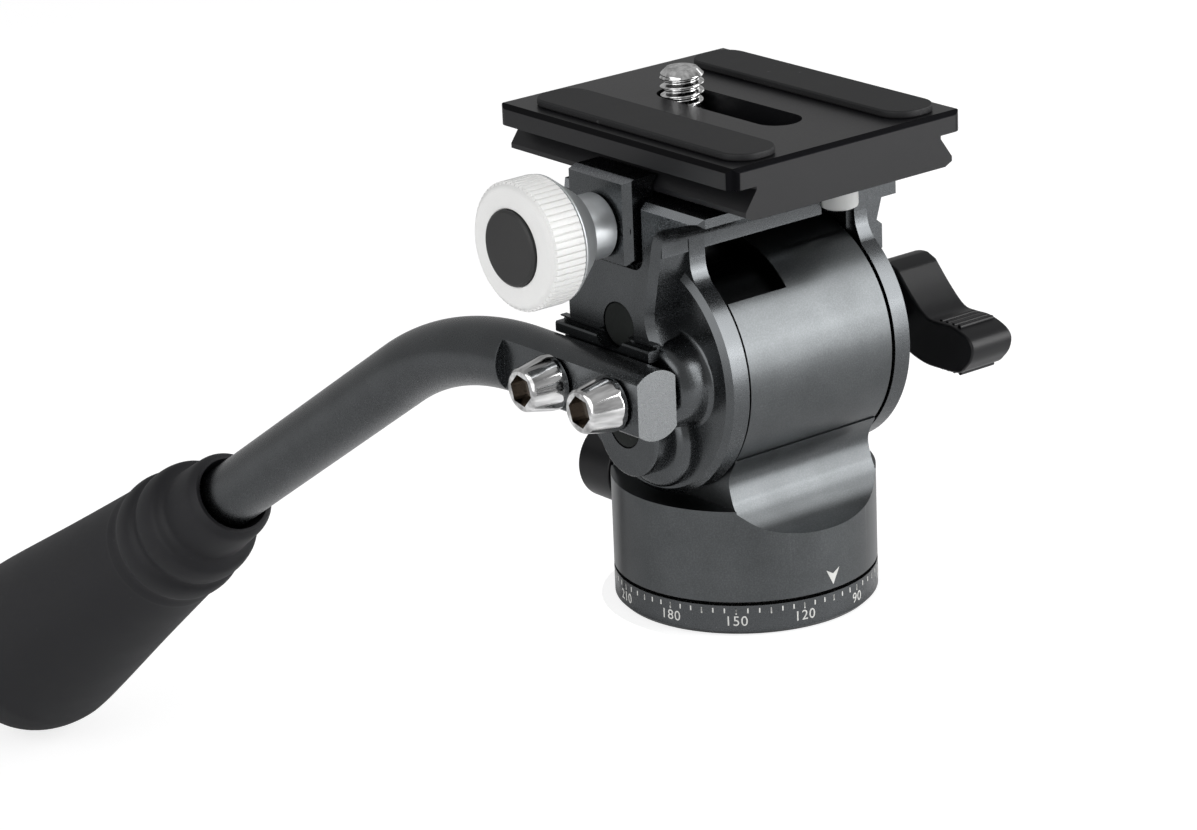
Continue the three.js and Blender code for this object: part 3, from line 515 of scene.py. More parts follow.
@dataclass(frozen=True)
class Rod:
    """A rod along an axis, moved to a place: a boss, or what a bore cuts away."""

    axis: Axis
    radius: float
    start: float
    end: float
    place: Triple = (0.0, 0.0, 0.0)
    sides: int = SIDES_SMALL

    def form(self) -> Form:
        """Makes the rod."""
        return Form.rod(self.axis, self.radius, self.start, self.end, self.sides).moved(*self.place)


class GeometryTree:
    """A tree of geometry nodes with named inputs."""

    def __init__(self, name: str) -> None:
        """Starts a tree that takes and gives a geometry.

        Args:
            name: The tree's name.
        """
        self.tree = bpy.data.node_groups.new(name, "GeometryNodeTree")
        self.tree.interface.new_socket("Geometry", in_out="INPUT", socket_type="NodeSocketGeometry")
        self.tree.interface.new_socket("Geometry", in_out="OUTPUT", socket_type="NodeSocketGeometry")
        self.entry = self.tree.nodes.new("NodeGroupInput")
        self.identifiers: dict[str, str] = {}

    def add_input(self, name: str, kind: str) -> None:
        """Adds a named input of a kind, such as Float or Object."""
        socket = self.tree.interface.new_socket(name, in_out="INPUT", socket_type=f"NodeSocket{kind}")
        self.identifiers[name] = socket.identifier

    def node(self, kind: str, settings: dict[str, Any], inputs: dict[str, Any]) -> bpy.types.Node:
        """Adds a node.

        Args:
            kind: The node's type.
            settings: Its properties, which are set first.
            inputs: The values or links of its sockets.

        Returns:
            The node.
        """
        node = self.tree.nodes.new(kind)
        for name, value in settings.items():
            setattr(node, name, value)
        for name, value in inputs.items():
            if isinstance(value, bpy.types.NodeSocket):
                self.tree.links.new(value, node.inputs[name])
            else:
                node.inputs[name].default_value = value
        return node

    def end(self, geometry: bpy.types.NodeSocket) -> None:
        """Ends the tree in real geometry with the Material input's material.

        Args:
            geometry: The geometry that the tree has made.
        """
        real = self.node("GeometryNodeRealizeInstances", {}, {"Geometry": geometry})
        inputs = {"Geometry": real.outputs[0], "Material": self.entry.outputs["Material"]}
        dressed = self.node("GeometryNodeSetMaterial", {}, inputs)
        self.node("NodeGroupOutput", {}, {"Geometry": dressed.outputs[0]})

    def run(self, mesh: bpy.types.Mesh, values: dict[str, Any]) -> Form:
        """Runs the tree on a mesh.

        Args:
            mesh: The geometry that goes in.
            values: The values of the named inputs.

        Returns:
            The form that comes out.
        """
        host = hosted(mesh)
        modifier = host.modifiers.new("nodes", "NODES")
        modifier.node_group = self.tree
        for name, value in values.items():
            modifier[self.identifiers[name]] = value
        return Form(evaluated(host)).cleaned()


class CopiesTree(GeometryTree):
    """Sets copies of a form in a row, in a ring or both."""

    def __init__(self) -> None:
        """Builds the tree."""
        super().__init__("copies in a row or a ring")
        kinds = {"Source": "Object", "Count": "Int", "Offset": "Vector", "Axis": "Vector"}
        kinds |= {"Start": "Float", "Step": "Float", "Material": "Material"}
        for name, kind in kinds.items():
            self.add_input(name, kind)
        entry = self.entry.outputs
        line_inputs = {"Count": entry["Count"], "Offset": entry["Offset"]}
        line = self.node("GeometryNodeMeshLine", {"mode": "OFFSET"}, line_inputs)
        index = self.node("GeometryNodeInputIndex", {}, {})
        angle = self.node("ShaderNodeMath", {"operation": "MULTIPLY_ADD"}, {})
        for socket, value in zip(angle.inputs, (index.outputs[0], entry["Step"], entry["Start"])):
            self.tree.links.new(value, socket)
        scale_inputs = {"Vector": entry["Axis"], "Scale": angle.outputs[0]}
        euler = self.node("ShaderNodeVectorMath", {"operation": "SCALE"}, scale_inputs)
        turn = self.node("FunctionNodeEulerToRotation", {}, {"Euler": euler.outputs[0]})
        source = self.node("GeometryNodeObjectInfo", {}, {"Object": entry["Source"]})
        spread = {
            "Points": line.outputs[0],
            "Instance": source.outputs["Geometry"],
            "Rotation": turn.outputs[0],
        }
        self.end(self.node("GeometryNodeInstanceOnPoints", {}, spread).outputs[0])

    def copies(
        self,
        source: Form,
        finish: Finish,
        count: int,
        axis: Axis = Axis.Z,
        start: float = 0.0,
        step: float = 0.0,
        offset: Triple = (0.0, 0.0, 0.0),
    ) -> Form:
        """Copies a form.

        Args:
            source: The form to copy.
            finish: The copies' finish.
            count: The number of copies.
            axis: The axis, through the origin, that they are turned about.
            start: The first copy's turn, in degrees.
            step: The turn from one copy to the next, in degrees.
            offset: The move from one copy to the next.

        Returns:
            The copies as one form.
        """
        held = hosted(source.mesh, "source")
        values = {
            "Source": held,
            "Count": count,
            "Offset": offset,
            "Axis": axis.place(0.0, 0.0, 1.0),
            "Start": math.radians(start),
            "Step": math.radians(step),
            "Material": finish.material(),
        }
        form = self.run(bpy.data.meshes.new("empty"), values)
        bpy.data.objects.remove(held)
        return form


class SweepTree(GeometryTree):
    """Sweeps a round section along a line."""

    def __init__(self) -> None:
        """Builds the tree."""
        super().__init__("round section along a line")
        for name, kind in {"Radius": "Float", "Sides": "Int", "Material": "Material"}.items():
            self.add_input(name, kind)
        entry = self.entry.outputs
        curve = self.node("GeometryNodeMeshToCurve", {}, {"Mesh": entry["Geometry"]})
        ring_inputs = {"Radius": entry["Radius"], "Resolution": entry["Sides"]}
        ring = self.node("GeometryNodeCurvePrimitiveCircle", {}, ring_inputs)
        inputs = {"Curve": curve.outputs[0], "Profile Curve": ring.outputs[0], "Fill Caps": True}
        self.end(self.node("GeometryNodeCurveToMesh", {}, inputs).outputs[0])

    def swept(self, line: Sequence[Triple], radius: float, sides: int, finish: Finish) -> Form:
        """Sweeps a round section along a line.

        Args:
            line: The places of the section's centre.
            radius: The section's radius.
            sides: The number of its sides.
            finish: The form's finish.

        Returns:
            The form.
        """
        mesh = bpy.data.meshes.new("line")
        mesh.from_pydata(line, [(at, at + 1) for at in range(len(line) - 1)], [])
        return self.run(mesh, {"Radius": radius, "Sides": sides, "Material": finish.material()})


@dataclass(frozen=True)
class Wire:
    """The value of a socket in a shader, for sums written as Python."""

    tree: ShaderTree
    socket: bpy.types.NodeSocket

    def __add__(self, other: Wire | float) -> Wire:
        """Adds."""
        return self.tree.maths("ADD", self, other)

    def __radd__(self, other: float) -> Wire:
        """Adds the other way round."""
        return self.tree.maths("ADD", other, self)

    def __sub__(self, other: Wire | float) -> Wire:
        """Takes away."""
        return self.tree.maths("SUBTRACT", self, other)

    def __rsub__(self, other: float) -> Wire:
        """Takes away the other way round."""
        return self.tree.maths("SUBTRACT", other, self)

    def __mul__(self, other: Wire | float) -> Wire:
        """Multiplies."""
        return self.tree.maths("MULTIPLY", self, other)

    def __rmul__(self, other: float) -> Wire:
        """Multiplies the other way round."""
        return self.tree.maths("MULTIPLY", other, self)


class ShaderTree:
    """A material's nodes."""

    def __init__(self, name: str) -> None:
        """Starts a material with an empty tree.

        Args:
            name: The material's name.
        """
        self.material = bpy.data.materials.new(name)
        self.material.use_nodes = True
        self.nodes = self.material.node_tree.nodes
        self.nodes.clear()
        self.places = self.wire(self.node("ShaderNodeTexCoord"), "Object")

    def node(
        self,
        kind: str,
        settings: dict[str, Any] | None = None,
        inputs: dict[str | int, Any] | None = None,
    ) -> bpy.types.Node:
        """Adds a node.

        Args:
            kind: The node's type.
            settings: Its properties, which are set first.
            inputs: The values or wires of its sockets.

        Returns:
            The node.
        """
        node = self.nodes.new(kind)
        for name, value in (settings or {}).items():
            setattr(node, name, value)
        for key, value in (inputs or {}).items():
            if isinstance(value, Wire):
                self.material.node_tree.links.new(value.socket, node.inputs[key])
            else:
                node.inputs[key].default_value = value
        return node

    def wire(self, node: bpy.types.Node, output: str | int = 0) -> Wire:
        """Returns the wire from a node's output."""
        return Wire(self, node.outputs[output])

    def maths(self, operation: str, first: Wire | float, second: Wire | float) -> Wire:
        """Adds a sum of two values and returns its wire."""
        return self.wire(self.node("ShaderNodeMath", {"operation": operation}, {0: first, 1: second}))

    def noise(self, size: float, detail: float = 2.0, stretch: Triple = EVEN) -> Wire:
        """Adds noise on the object's own places.

        Args:
            size: The size of a patch, in millimetres.
            detail: How much finer noise it holds.
            stretch: How much larger the patches are along x, y and z.

        Returns:
            The wire of a value about a half.
        """
        scale = tuple(1 / (size * METRES * share) for share in stretch)
        places = self.node("ShaderNodeMapping", {}, {"Vector": self.places, "Scale": scale})
        inputs = {"Vector": self.wire(places), "Scale": 1.0, "Detail": detail}
        return self.wire(self.node("ShaderNodeTexNoise", {}, inputs))

    def spread(self, value: Wire, low: Pair, high: Pair) -> Wire:
        """Maps a value from one range onto another, held at both ends.

        Args:
            value: The value.
            low: The value at the low end, and what it becomes.
            high: The value at the high end, and what it becomes.

        Returns:
            The wire of the new value.
        """
        inputs = {"From Min": low[0], "From Max": high[0], "To Min": low[1], "To Max": high[1]}
        return self.wire(self.node("ShaderNodeMapRange", {}, {"Value": value, **inputs}))

    def mixed(self, share: Wire | float, first: Triple | Wire, second: Triple | Wire) -> Wire:
        """Mixes two colours and returns the wire of the mix."""
        colours = [value if isinstance(value, Wire) else (*value, 1.0) for value in (first, second)]
        inputs = {0: share, **dict(zip(MIX_COLOURS, colours))}
        return self.wire(self.node("ShaderNodeMix", {"data_type": "RGBA"}, inputs), MIX_RESULT)

    def bump(self, height: Wire, distance: float) -> Wire:
        """Adds a relief of a height in millimetres and returns the wire of its normal."""
        inputs = {"Height": height, "Distance": distance * METRES, "Strength": 1.0}
        return self.wire(self.node("ShaderNodeBump", {}, inputs))

    def surface(self, **sockets: Any) -> bpy.types.Material:
        """Ends the tree in a principled surface with the given sockets."""
        titles = {name: name.replace("_", " ").title().replace("Ior", "IOR") for name in sockets}
        inputs = {titles[name]: value for name, value in sockets.items()}
        shader = self.node("ShaderNodeBsdfPrincipled", {}, inputs)
        self.node("ShaderNodeOutputMaterial", {}, {"Surface": self.wire(shader)})
        return self.material


CLOUD_EDGES = ((0.3, 0.0), (0.7, 1.0))
FLECK_EDGES = ((0.35, 0.0), (0.65, 0.5))
GRAIN_DETAIL = 3.0
MARK_DETAIL = 4.0
BLACK: Triple = (0.006, 0.006, 0.007)


@dataclass(frozen=True)
class Finish:
    """What a surface is like; its sizes are in millimetres."""

    name: str
    slot: str
    colour: Triple
    roughness: float = 0.45
    metallic: float = 0.0
    specular: float = 0.5
    cloud: float = 6.0
    cloud_swing: float = 0.08
    grain: float = 0.2
    grain_height: float = 0.004
    grain_swing: float = 0.1
    # The second colour and its metallic are painted light or shade, laid over the surface only by the
    # finishes that pick out a share for them; the default second colour is painted light on the bar's front
    # end face.
    second: Triple = (0.25, 0.26, 0.265)
    second_metallic: float = 1.0

    def tint(self, share: float) -> Triple:
        """Returns the colour made lighter or darker by a share."""
        return tuple(min(1.0, channel * (1 + share)) for channel in self.colour)

    def clouded(self, tree: ShaderTree, stretch: Triple = EVEN) -> Wire:
        """Returns the colour in slow patches, which may be drawn out along an axis."""
        cloud = tree.spread(tree.noise(self.cloud, stretch=stretch), *CLOUD_EDGES)
        return tree.mixed(cloud, self.tint(-self.cloud_swing), self.tint(self.cloud_swing))

    def rough(self, value: Wire) -> Wire:
        """Returns the roughness, which swings with a value about a half."""
        return self.roughness - self.grain_swing / 2 + value * self.grain_swing

    def marked(self, tree: ShaderTree) -> Wire | float:
        """Returns the share of painted light or shade, in the second colour, which a plain finish doesn't
        have.
        """
        return 0.0

    def overlaid(self, tree: ShaderTree, share: Wire | float, colour: Wire) -> Wire:
        """Returns a colour with a share of the second one, painted light or shade, over it."""
        return tree.mixed(share, colour, self.second) if isinstance(share, Wire) else colour

    def build(self, tree: ShaderTree) -> bpy.types.Material:
        """Builds the surface: a slow cloud and a fine grain, with any painted light or shade over them.

        Args:
            tree: The material's tree.

        Returns:
            The material.
        """
        grain = tree.noise(self.grain, GRAIN_DETAIL)
        flecks = tree.spread(grain, *FLECK_EDGES)
        colour = tree.mixed(flecks, self.clouded(tree), self.tint(self.grain_swing))
        share = self.marked(tree)
        return tree.surface(
            base_color=self.overlaid(tree, share, colour),
            roughness=self.rough(grain),
            metallic=share * (self.second_metallic - self.metallic) + self.metallic,
            specular_ior_level=self.specular,
            normal=tree.bump(grain, self.grain_height),
        )

    def material(self) -> bpy.types.Material:
        """Returns the finish's material, which is built once."""
        return bpy.data.materials.get(self.name) or self.build(ShaderTree(self.name))


@dataclass(frozen=True)
class CastingFinish(Finish):
    """Blasted and anodised metal, with painted shade within a distance of the tilt axis, which takes in the
    drum's notch.
    """

    dark_radius: float = 17.45
    dark: float = 0.12
    height: float = TILT_HEIGHT
    sparkle: float = 0.3
    sparkle_range: Pair = (0.4, 0.72)

    def build(self, tree: ShaderTree) -> bpy.types.Material:
        """Builds the surface: sparkling grain, and painted shade within a distance of the tilt axis.

        Args:
            tree: The material's tree.

        Returns:
            The material.
        """
        level = {"Location": (0.0, 0.0, -self.height * METRES), "Scale": (0.0, 1.0, 1.0)}
        flat = tree.wire(tree.node("ShaderNodeMapping", {}, {"Vector": tree.places, **level}))
        reach = tree.wire(tree.node("ShaderNodeVectorMath", {"operation": "LENGTH"}, {0: flat}), "Value")
        radius = self.dark_radius * METRES
        # Painted shade: within the radius of the tilt axis the colour is scaled down to the shade level.
        outside = tree.spread(reach, (radius - WELD * METRES, self.dark), (radius, 1.0))
        grain = tree.noise(self.grain)
        low, high = self.sparkle_range
        lit = tree.spread(grain, (low, 1.0), (high, 1.0 + self.sparkle))
        share = {0: self.clouded(tree), "Scale": outside * lit}
        return tree.surface(
            base_color=tree.wire(tree.node("ShaderNodeVectorMath", {"operation": "SCALE"}, share)),
            roughness=self.rough(grain),
            metallic=self.metallic,
            normal=tree.bump(grain, self.grain_height),
        )


@dataclass(frozen=True)
class CutFinish(Finish):
    """A finish with painted light: a second, lighter colour on the outermost face towards one side."""

    toward: Triple = (0.0, -1.0, 0.0)
    reach: float = 0.0

    def marked(self, tree: ShaderTree) -> Wire:
        """Returns the share of what lies beyond the reach, which takes the painted light.

        Args:
            tree: The material's tree.

        Returns:
            The wire of the share.
        """
        inputs = {0: tree.places, 1: self.toward}
        reach = tree.wire(tree.node("ShaderNodeVectorMath", {"operation": "DOT_PRODUCT"}, inputs), "Value")
        edge = self.reach * METRES
        return tree.spread(reach, (edge - WELD * METRES, 0.0), (edge, 1.0))


@dataclass(frozen=True)
class RimFinish(Finish):
    """A finish with painted shade on the top chamfers and upright corners of a plate: there the second colour
    is metallic, which leaves them with almost no reflection.
    """

    half: Pair = (21.1, 25.315)
    middle: float = 0.985
    height: float = 71.11
    corner: float = 1.35
    slack: float = 0.05

    def marked(self, tree: ShaderTree) -> Wire:
        """Returns the share of the chamfers and corners, which take the painted shade.

        Args:
            tree: The material's tree.

        Returns:
            The wire of the share.
        """
        parts = tree.node("ShaderNodeSeparateXYZ", {}, {0: tree.places})
        across = tree.maths("ABSOLUTE", tree.wire(parts, "X"), 0.0)
        along = tree.maths("ABSOLUTE", tree.wire(parts, "Y") - self.middle * METRES, 0.0)
        up = tree.wire(parts, "Z") - self.height * METRES
        side, end = self.half
        reaches = (
            across + up - side * METRES,
            along + up - end * METRES,
            across + along - (side + end - self.corner) * METRES,
        )
        most = tree.maths("MAXIMUM", tree.maths("MAXIMUM", reaches[0], reaches[1]), reaches[2])
        return tree.spread(most, (-2 * self.slack * METRES, 0.0), (-self.slack * METRES, 1.0))


@dataclass(frozen=True)
class TurnedFinish(Finish):
    """Metal with fine marks drawn out along one axis."""

    stretch: Triple = EVEN

    def build(self, tree: ShaderTree) -> bpy.types.Material:
        """Builds the surface: marks along an axis over a slow cloud, with any painted light or shade over
        them.

        Args:
            tree: The material's tree.

        Returns:
            The material.
        """
        marks = tree.noise(self.grain, MARK_DETAIL, self.stretch)
        return tree.surface(
            base_color=self.overlaid(tree, self.marked(tree), self.clouded(tree, self.stretch)),
            roughness=self.rough(marks),
            metallic=self.metallic,
            normal=tree.bump(marks, self.grain_height),
        )


@dataclass(frozen=True)
class SocketFinish(TurnedFinish):
    """Polished metal with painted shade inside the sockets of the bar's two screws."""

    socket_radius: float = 2.45
    mouth: float = 36.05
    middle: float = (BAR_SCREWS[0] + BAR_SCREWS[1]) / 2
    apart: float = (BAR_SCREWS[0] - BAR_SCREWS[1]) / 2
    height: float = TILT_HEIGHT + BAR_HEIGHT

    def marked(self, tree: ShaderTree) -> Wire:
        """Returns the share of the sockets, which take the painted shade.

        Args:
            tree: The material's tree.

        Returns:
            The wire of the share.
        """
        parts = tree.node("ShaderNodeSeparateXYZ", {}, {0: tree.places})
        side = tree.maths("ABSOLUTE", tree.wire(parts, "Y") - self.middle * METRES, 0.0)
        side = side - self.apart * METRES
        up = tree.wire(parts, "Z") - self.height * METRES
        reach = tree.maths("SQRT", side * side + up * up, 0.0)
        radius, mouth = self.socket_radius * METRES, -self.mouth * METRES
        near = tree.spread(reach, (radius, 1.0), (radius + WELD * METRES, 0.0))
        return near * tree.spread(tree.wire(parts, "X"), (mouth, 0.0), (mouth + WELD * METRES, 1.0))


@dataclass(frozen=True)
class RubberFinish(Finish):
    """Rubber with a leathery grain and pale specks of dust."""

    fold: float = 3.0
    speck: float = 1.4
    speck_range: Pair = (0.7, 0.78)
    speck_share: float = 0.25
    dust: Triple = (0.3, 0.3, 0.3)

    def build(self, tree: ShaderTree) -> bpy.types.Material:
        """Builds the surface: cells for the grain and rare specks.

        Args:
            tree: The material's tree.

        Returns:
            The material.
        """
        scale = 1 / (self.grain * METRES)
        cells = tree.node("ShaderNodeTexVoronoi", {}, {"Vector": tree.places, "Scale": scale})
        relief = tree.wire(cells) + tree.noise(self.grain * self.fold, GRAIN_DETAIL)
        low, high = self.speck_range
        specks = tree.spread(tree.noise(self.speck, MARK_DETAIL), (low, 0.0), (high, self.speck_share))
        return tree.surface(
            base_color=tree.mixed(specks, self.clouded(tree), self.dust),
            roughness=self.rough(tree.noise(self.cloud)),
            specular_ior_level=self.specular,
            normal=tree.bump(relief, self.grain_height),
        )


@dataclass(frozen=True)
class ClearFinish(Finish):
    """A clear moulded plastic."""

    clear: float = 0.55
    bending: float = 1.49

    def build(self, tree: ShaderTree) -> bpy.types.Material:
        """Builds the surface: clear, with a faint ripple.

        Args:
            tree: The material's tree.

        Returns:
            The material.
        """
        ripple = tree.noise(self.cloud)
        return tree.surface(
            base_color=(*self.colour, 1.0),
            roughness=self.roughness + ripple * self.grain_swing,
            transmission_weight=self.clear,
            ior=self.bending,
            normal=tree.bump(ripple, self.grain_height),
        )


SATIN: dict[str, Any] = {
    "slot": "anodised_grey",
    "colour": (0.095, 0.1, 0.104),
    "roughness": 0.27,
    "metallic": 1.0,
    "grain_swing": 0.08,
}
BLACKENED: dict[str, Any] = {
    "slot": "anodised_black",
    "colour": BLACK,
    "roughness": 0.34,
    "specular": 0.36,
    "grain_height": 0.003,
}
TURNED: dict[str, Any] = {"slot": "satin_steel", "grain": 0.3, "stretch": (0.4, 8.0, 8.0)}
# Painted reflection: a cloud swing this wide streaks polished metal with light and shade, drawn out along
# each screw's axis.
POLISHED: dict[str, Any] = {
    "slot": "polished_steel",
    "metallic": 1.0,
    "grain": 0.6,
    "grain_height": 0.001,
    "cloud_swing": 0.5,
}
MOULDED: dict[str, Any] = {"slot": "black_plastic"}
SOFT: dict[str, Any] = {"slot": "black_rubber"}
PRINTED: dict[str, Any] = {"slot": "white_enamel"}

ANODISED_GREY = Finish("satin grey anodising", **SATIN)
# Painted light: the bar's front end face, beyond the reach, takes the lighter default second colour.
BAR_GREY = CutFinish("bar anodising", **SATIN, reach=14.04)
# Painted light: the jaw's top slope takes a lighter colour that is not metallic, so that the lamps show on
# it.
JAW_GREY = CutFinish(
    "jaw anodising", **SATIN, toward=(-0.3896, 0.0, 0.9209), reach=70.36, second=(0.13, 0.137, 0.145),
    second_metallic=0.0
)
# Painted highlight: the 45 degree chamfer along the frame's top left edge takes a far lighter colour.
FRAME_GREY = CutFinish(
    "frame anodising", **SATIN, toward=(-1.0, 0.0, 1.0), reach=84.97, second=(0.42, 0.44, 0.46)
)
# Painted shade: the casting's colour is scaled down within 17.45 mm of the tilt axis, in the drum's notch and
# bores.
CASTING_GREY = CastingFinish("blasted grey anodising", "anodised_grey", (0.09, 0.095, 0.098), 0.31, 1.0)
ANODISED_BLACK = Finish("satin black anodising", **BLACKENED)
# Painted shade: the plate's top chamfers and upright corners are metallic black, which reflects almost
# nothing.
PLATE_BLACK = RimFinish("plate anodising", **BLACKENED, second=BLACK)
BLACK_PLASTIC = Finish(
    "moulded black", **MOULDED, colour=(0.005, 0.005, 0.006), roughness=0.36, specular=0.32, grain=0.35
)
KNOB_CAP = Finish(
    "cap black", **MOULDED, colour=(0.022, 0.022, 0.022), roughness=0.5, specular=0.4, grain=0.3
)
RUBBER = RubberFinish(
    "black rubber", **SOFT, colour=(0.012, 0.012, 0.013), roughness=0.6, specular=0.35, grain=0.18
)
GRIP_RUBBER = RubberFinish(
    "grip rubber", **SOFT, colour=(0.011, 0.011, 0.013), roughness=0.58, specular=0.3, grain=0.35,
    speck_share=0.04
)
PLUG_RUBBER = RubberFinish(
    "plug rubber", **SOFT, colour=(0.012, 0.014, 0.013), roughness=0.8, specular=0.25, grain=0.5,
    grain_height=0.03
)
WHITE = Finish(
    "satin white", **PRINTED, colour=(0.8, 0.8, 0.79), roughness=0.42, grain_swing=0.04, cloud_swing=0.02
)
INK = Finish(
    "white ink", **PRINTED, colour=(0.62, 0.62, 0.6), roughness=0.6, grain_swing=0.1, cloud_swing=0.1
)
SATIN_STEEL = TurnedFinish("turned steel", **TURNED, colour=(0.56, 0.58, 0.6), roughness=0.3, metallic=1.0)
GREY_STEEL = TurnedFinish(
    "grey turned metal", **TURNED, colour=(0.58, 0.6, 0.61), roughness=0.42, metallic=0.8
)
BRIGHT_STEEL = TurnedFinish(
    "blasted bright metal", "satin_steel", (0.86, 0.89, 0.91), 0.42, 0.9, grain=0.8, grain_height=0.02,
    cloud=2.5
)
# Painted reflection: the cloud is drawn out along Z, the camera screw's axis, into streaks of light and
# shade.
POLISHED_STEEL = TurnedFinish(
    "polished steel", **POLISHED, colour=(0.74, 0.74, 0.74), roughness=0.08, grain_swing=0.05,
    cloud=0.9, stretch=(1.0, 1.0, 1.6)
)
# Painted shade: the screws' sockets take the duller second colour; the cloud, drawn out along X, streaks them
# with painted reflections.
SCREW_STEEL = SocketFinish(
    "polished screws", **POLISHED, colour=(0.72, 0.72, 0.72), roughness=0.07, grain_swing=0.04,
    cloud=1.2, stretch=(9.0, 1.0, 1.0), second=(0.36, 0.33, 0.3)
)
CLEAR = ClearFinish(
    "clear acrylic", "clear_acrylic", (0.98, 0.99, 0.98), 0.04, grain_swing=0.02, grain_height=0.0005
)
BRONZE = TurnedFinish("bronze", "bronze", (0.5, 0.32, 0.14), 0.35, 1.0)
ACETAL = Finish("white acetal", "white_acetal", (0.72, 0.71, 0.67), 0.45)
SLOT_FINISHES = [
    ANODISED_GREY,
    ANODISED_BLACK,
    BLACK_PLASTIC,
    RUBBER,
    WHITE,
    SATIN_STEEL,
    POLISHED_STEEL,
    CLEAR,
    BRONZE,
    ACETAL,
]


@dataclass
class BaseRing:
    """The graduated ring that stands on the tripod, with its scale."""

    radius: float = 19.0
    height: float = 4.44
    edge: float = 0.6
    wall: float = 1.7
    floor: float = 1.7
    bore: float = 10.3
    flange_radius: float = 14.6
    disc_seat: float = 3.64
    screw_circle: float = 12.6
    screw_radius: float = 1.25
    head_radius: float = 1.9
    head_height: float = 1.0
    ink: float = 0.03
    tick_low: float = 3.35
    tick_long_low: float = 3.15
    tick_high: float = 4.05
    tick_width: float = 0.2
    tick_count: int = 72
    long_tick_count: int = 24
    digits_low: float = 1.45
    digits_height: float = 1.45
    digits_count: int = 12
    digits_share: float = 0.7
    digits_spacing: float = 1.1
    scale_zero: float = 374.78
    fine_edge: float = 0.12

    def ring(self) -> Form:
        """Makes the ring with its screw holes."""
        inner = self.flange_radius + GAP
        profile = [
            (0, self.bore),
            (0, self.radius - self.edge),
            (self.edge, self.radius),
            (self.height, self.radius),
            (self.height, self.radius - self.wall),
            (self.disc_seat, self.radius - self.wall),
            (self.disc_seat, inner),
            (self.floor, inner),
            (self.floor, self.bore),
        ]
        form = Form.turned(Axis.Z, profile, SIDES_FINE)
        for turn in (0, 120, 240):
            for radius, top in ((self.head_radius, self.head_height), (self.screw_radius, self.radius)):
                hole = Form.rod(Axis.Z, radius + GAP, -OVERRUN, top + GAP, SIDES_SMALL)
                form = form.cut(hole.moved(self.screw_circle).spun(Axis.Z, turn))
        return form.bevelled(self.fine_edge)

    def tick(self, low: float) -> Form:
        """Makes one mark of the scale, at angle 0, from a height up to the scale's top."""
        half = self.tick_width / 2
        across = (self.radius - self.ink, self.radius + self.ink)
        return Form.block(across, (-half, half), (low, self.tick_high))

    def wrapped(self, form: Form, turn: float) -> Form:
        """Wraps a flat form, drawn in x and y with its face to +Z, round the ring.

        Args:
            form: The flat form.
            turn: The angle of its middle, in degrees.

        Returns:
            The wrapped form.
        """
        for vertex in form.mesh.vertices:
            angle = math.radians(turn) + vertex.co.x / self.radius
            reach = self.radius + vertex.co.z
            vertex.co = Vector((reach * math.cos(angle), reach * math.sin(angle), vertex.co.y))
        return form.cleaned()

    def number(self, value: int) -> Form:
        """Makes one number of the scale, flat and in its middle.

        Args:
            value: The number.

        Returns:
            The form.
        """
        curve = bpy.data.curves.new("number", "FONT")
        curve.body = str(value)
        curve.align_x = "CENTER"
        curve.extrude = self.ink
        curve.size = self.digits_height / self.digits_share
        curve.space_character = self.digits_spacing
        form = Form(evaluated(hosted(curve, "number")))
        lowest = min(vertex.co.y for vertex in form.mesh.vertices)
        return form.moved(0, self.digits_low - lowest, 0)

    def build(self, copies: CopiesTree) -> None:
        """Makes the ring and its scale.

        Args:
            copies: The tree that sets the copies.
        """
        self.ring().piece("dial_ring", ANODISED_GREY, Body.BASE, ["graduated_base_ring"])
        for name, low, count in (
            ("scale_marks", self.tick_low, self.tick_count),
            ("scale_long_marks", self.tick_long_low, self.long_tick_count),
        ):
            step = 360 / count
            marks = copies.copies(self.tick(low), INK, count, Axis.Z, self.scale_zero % step, step)
            marks.piece(name, INK, Body.BASE)
        for at in range(self.digits_count):
            value = at * 360 // self.digits_count
            number = self.wrapped(self.number(value), self.scale_zero - value)
            number.piece(f"scale_number_{value}", INK, Body.BASE)


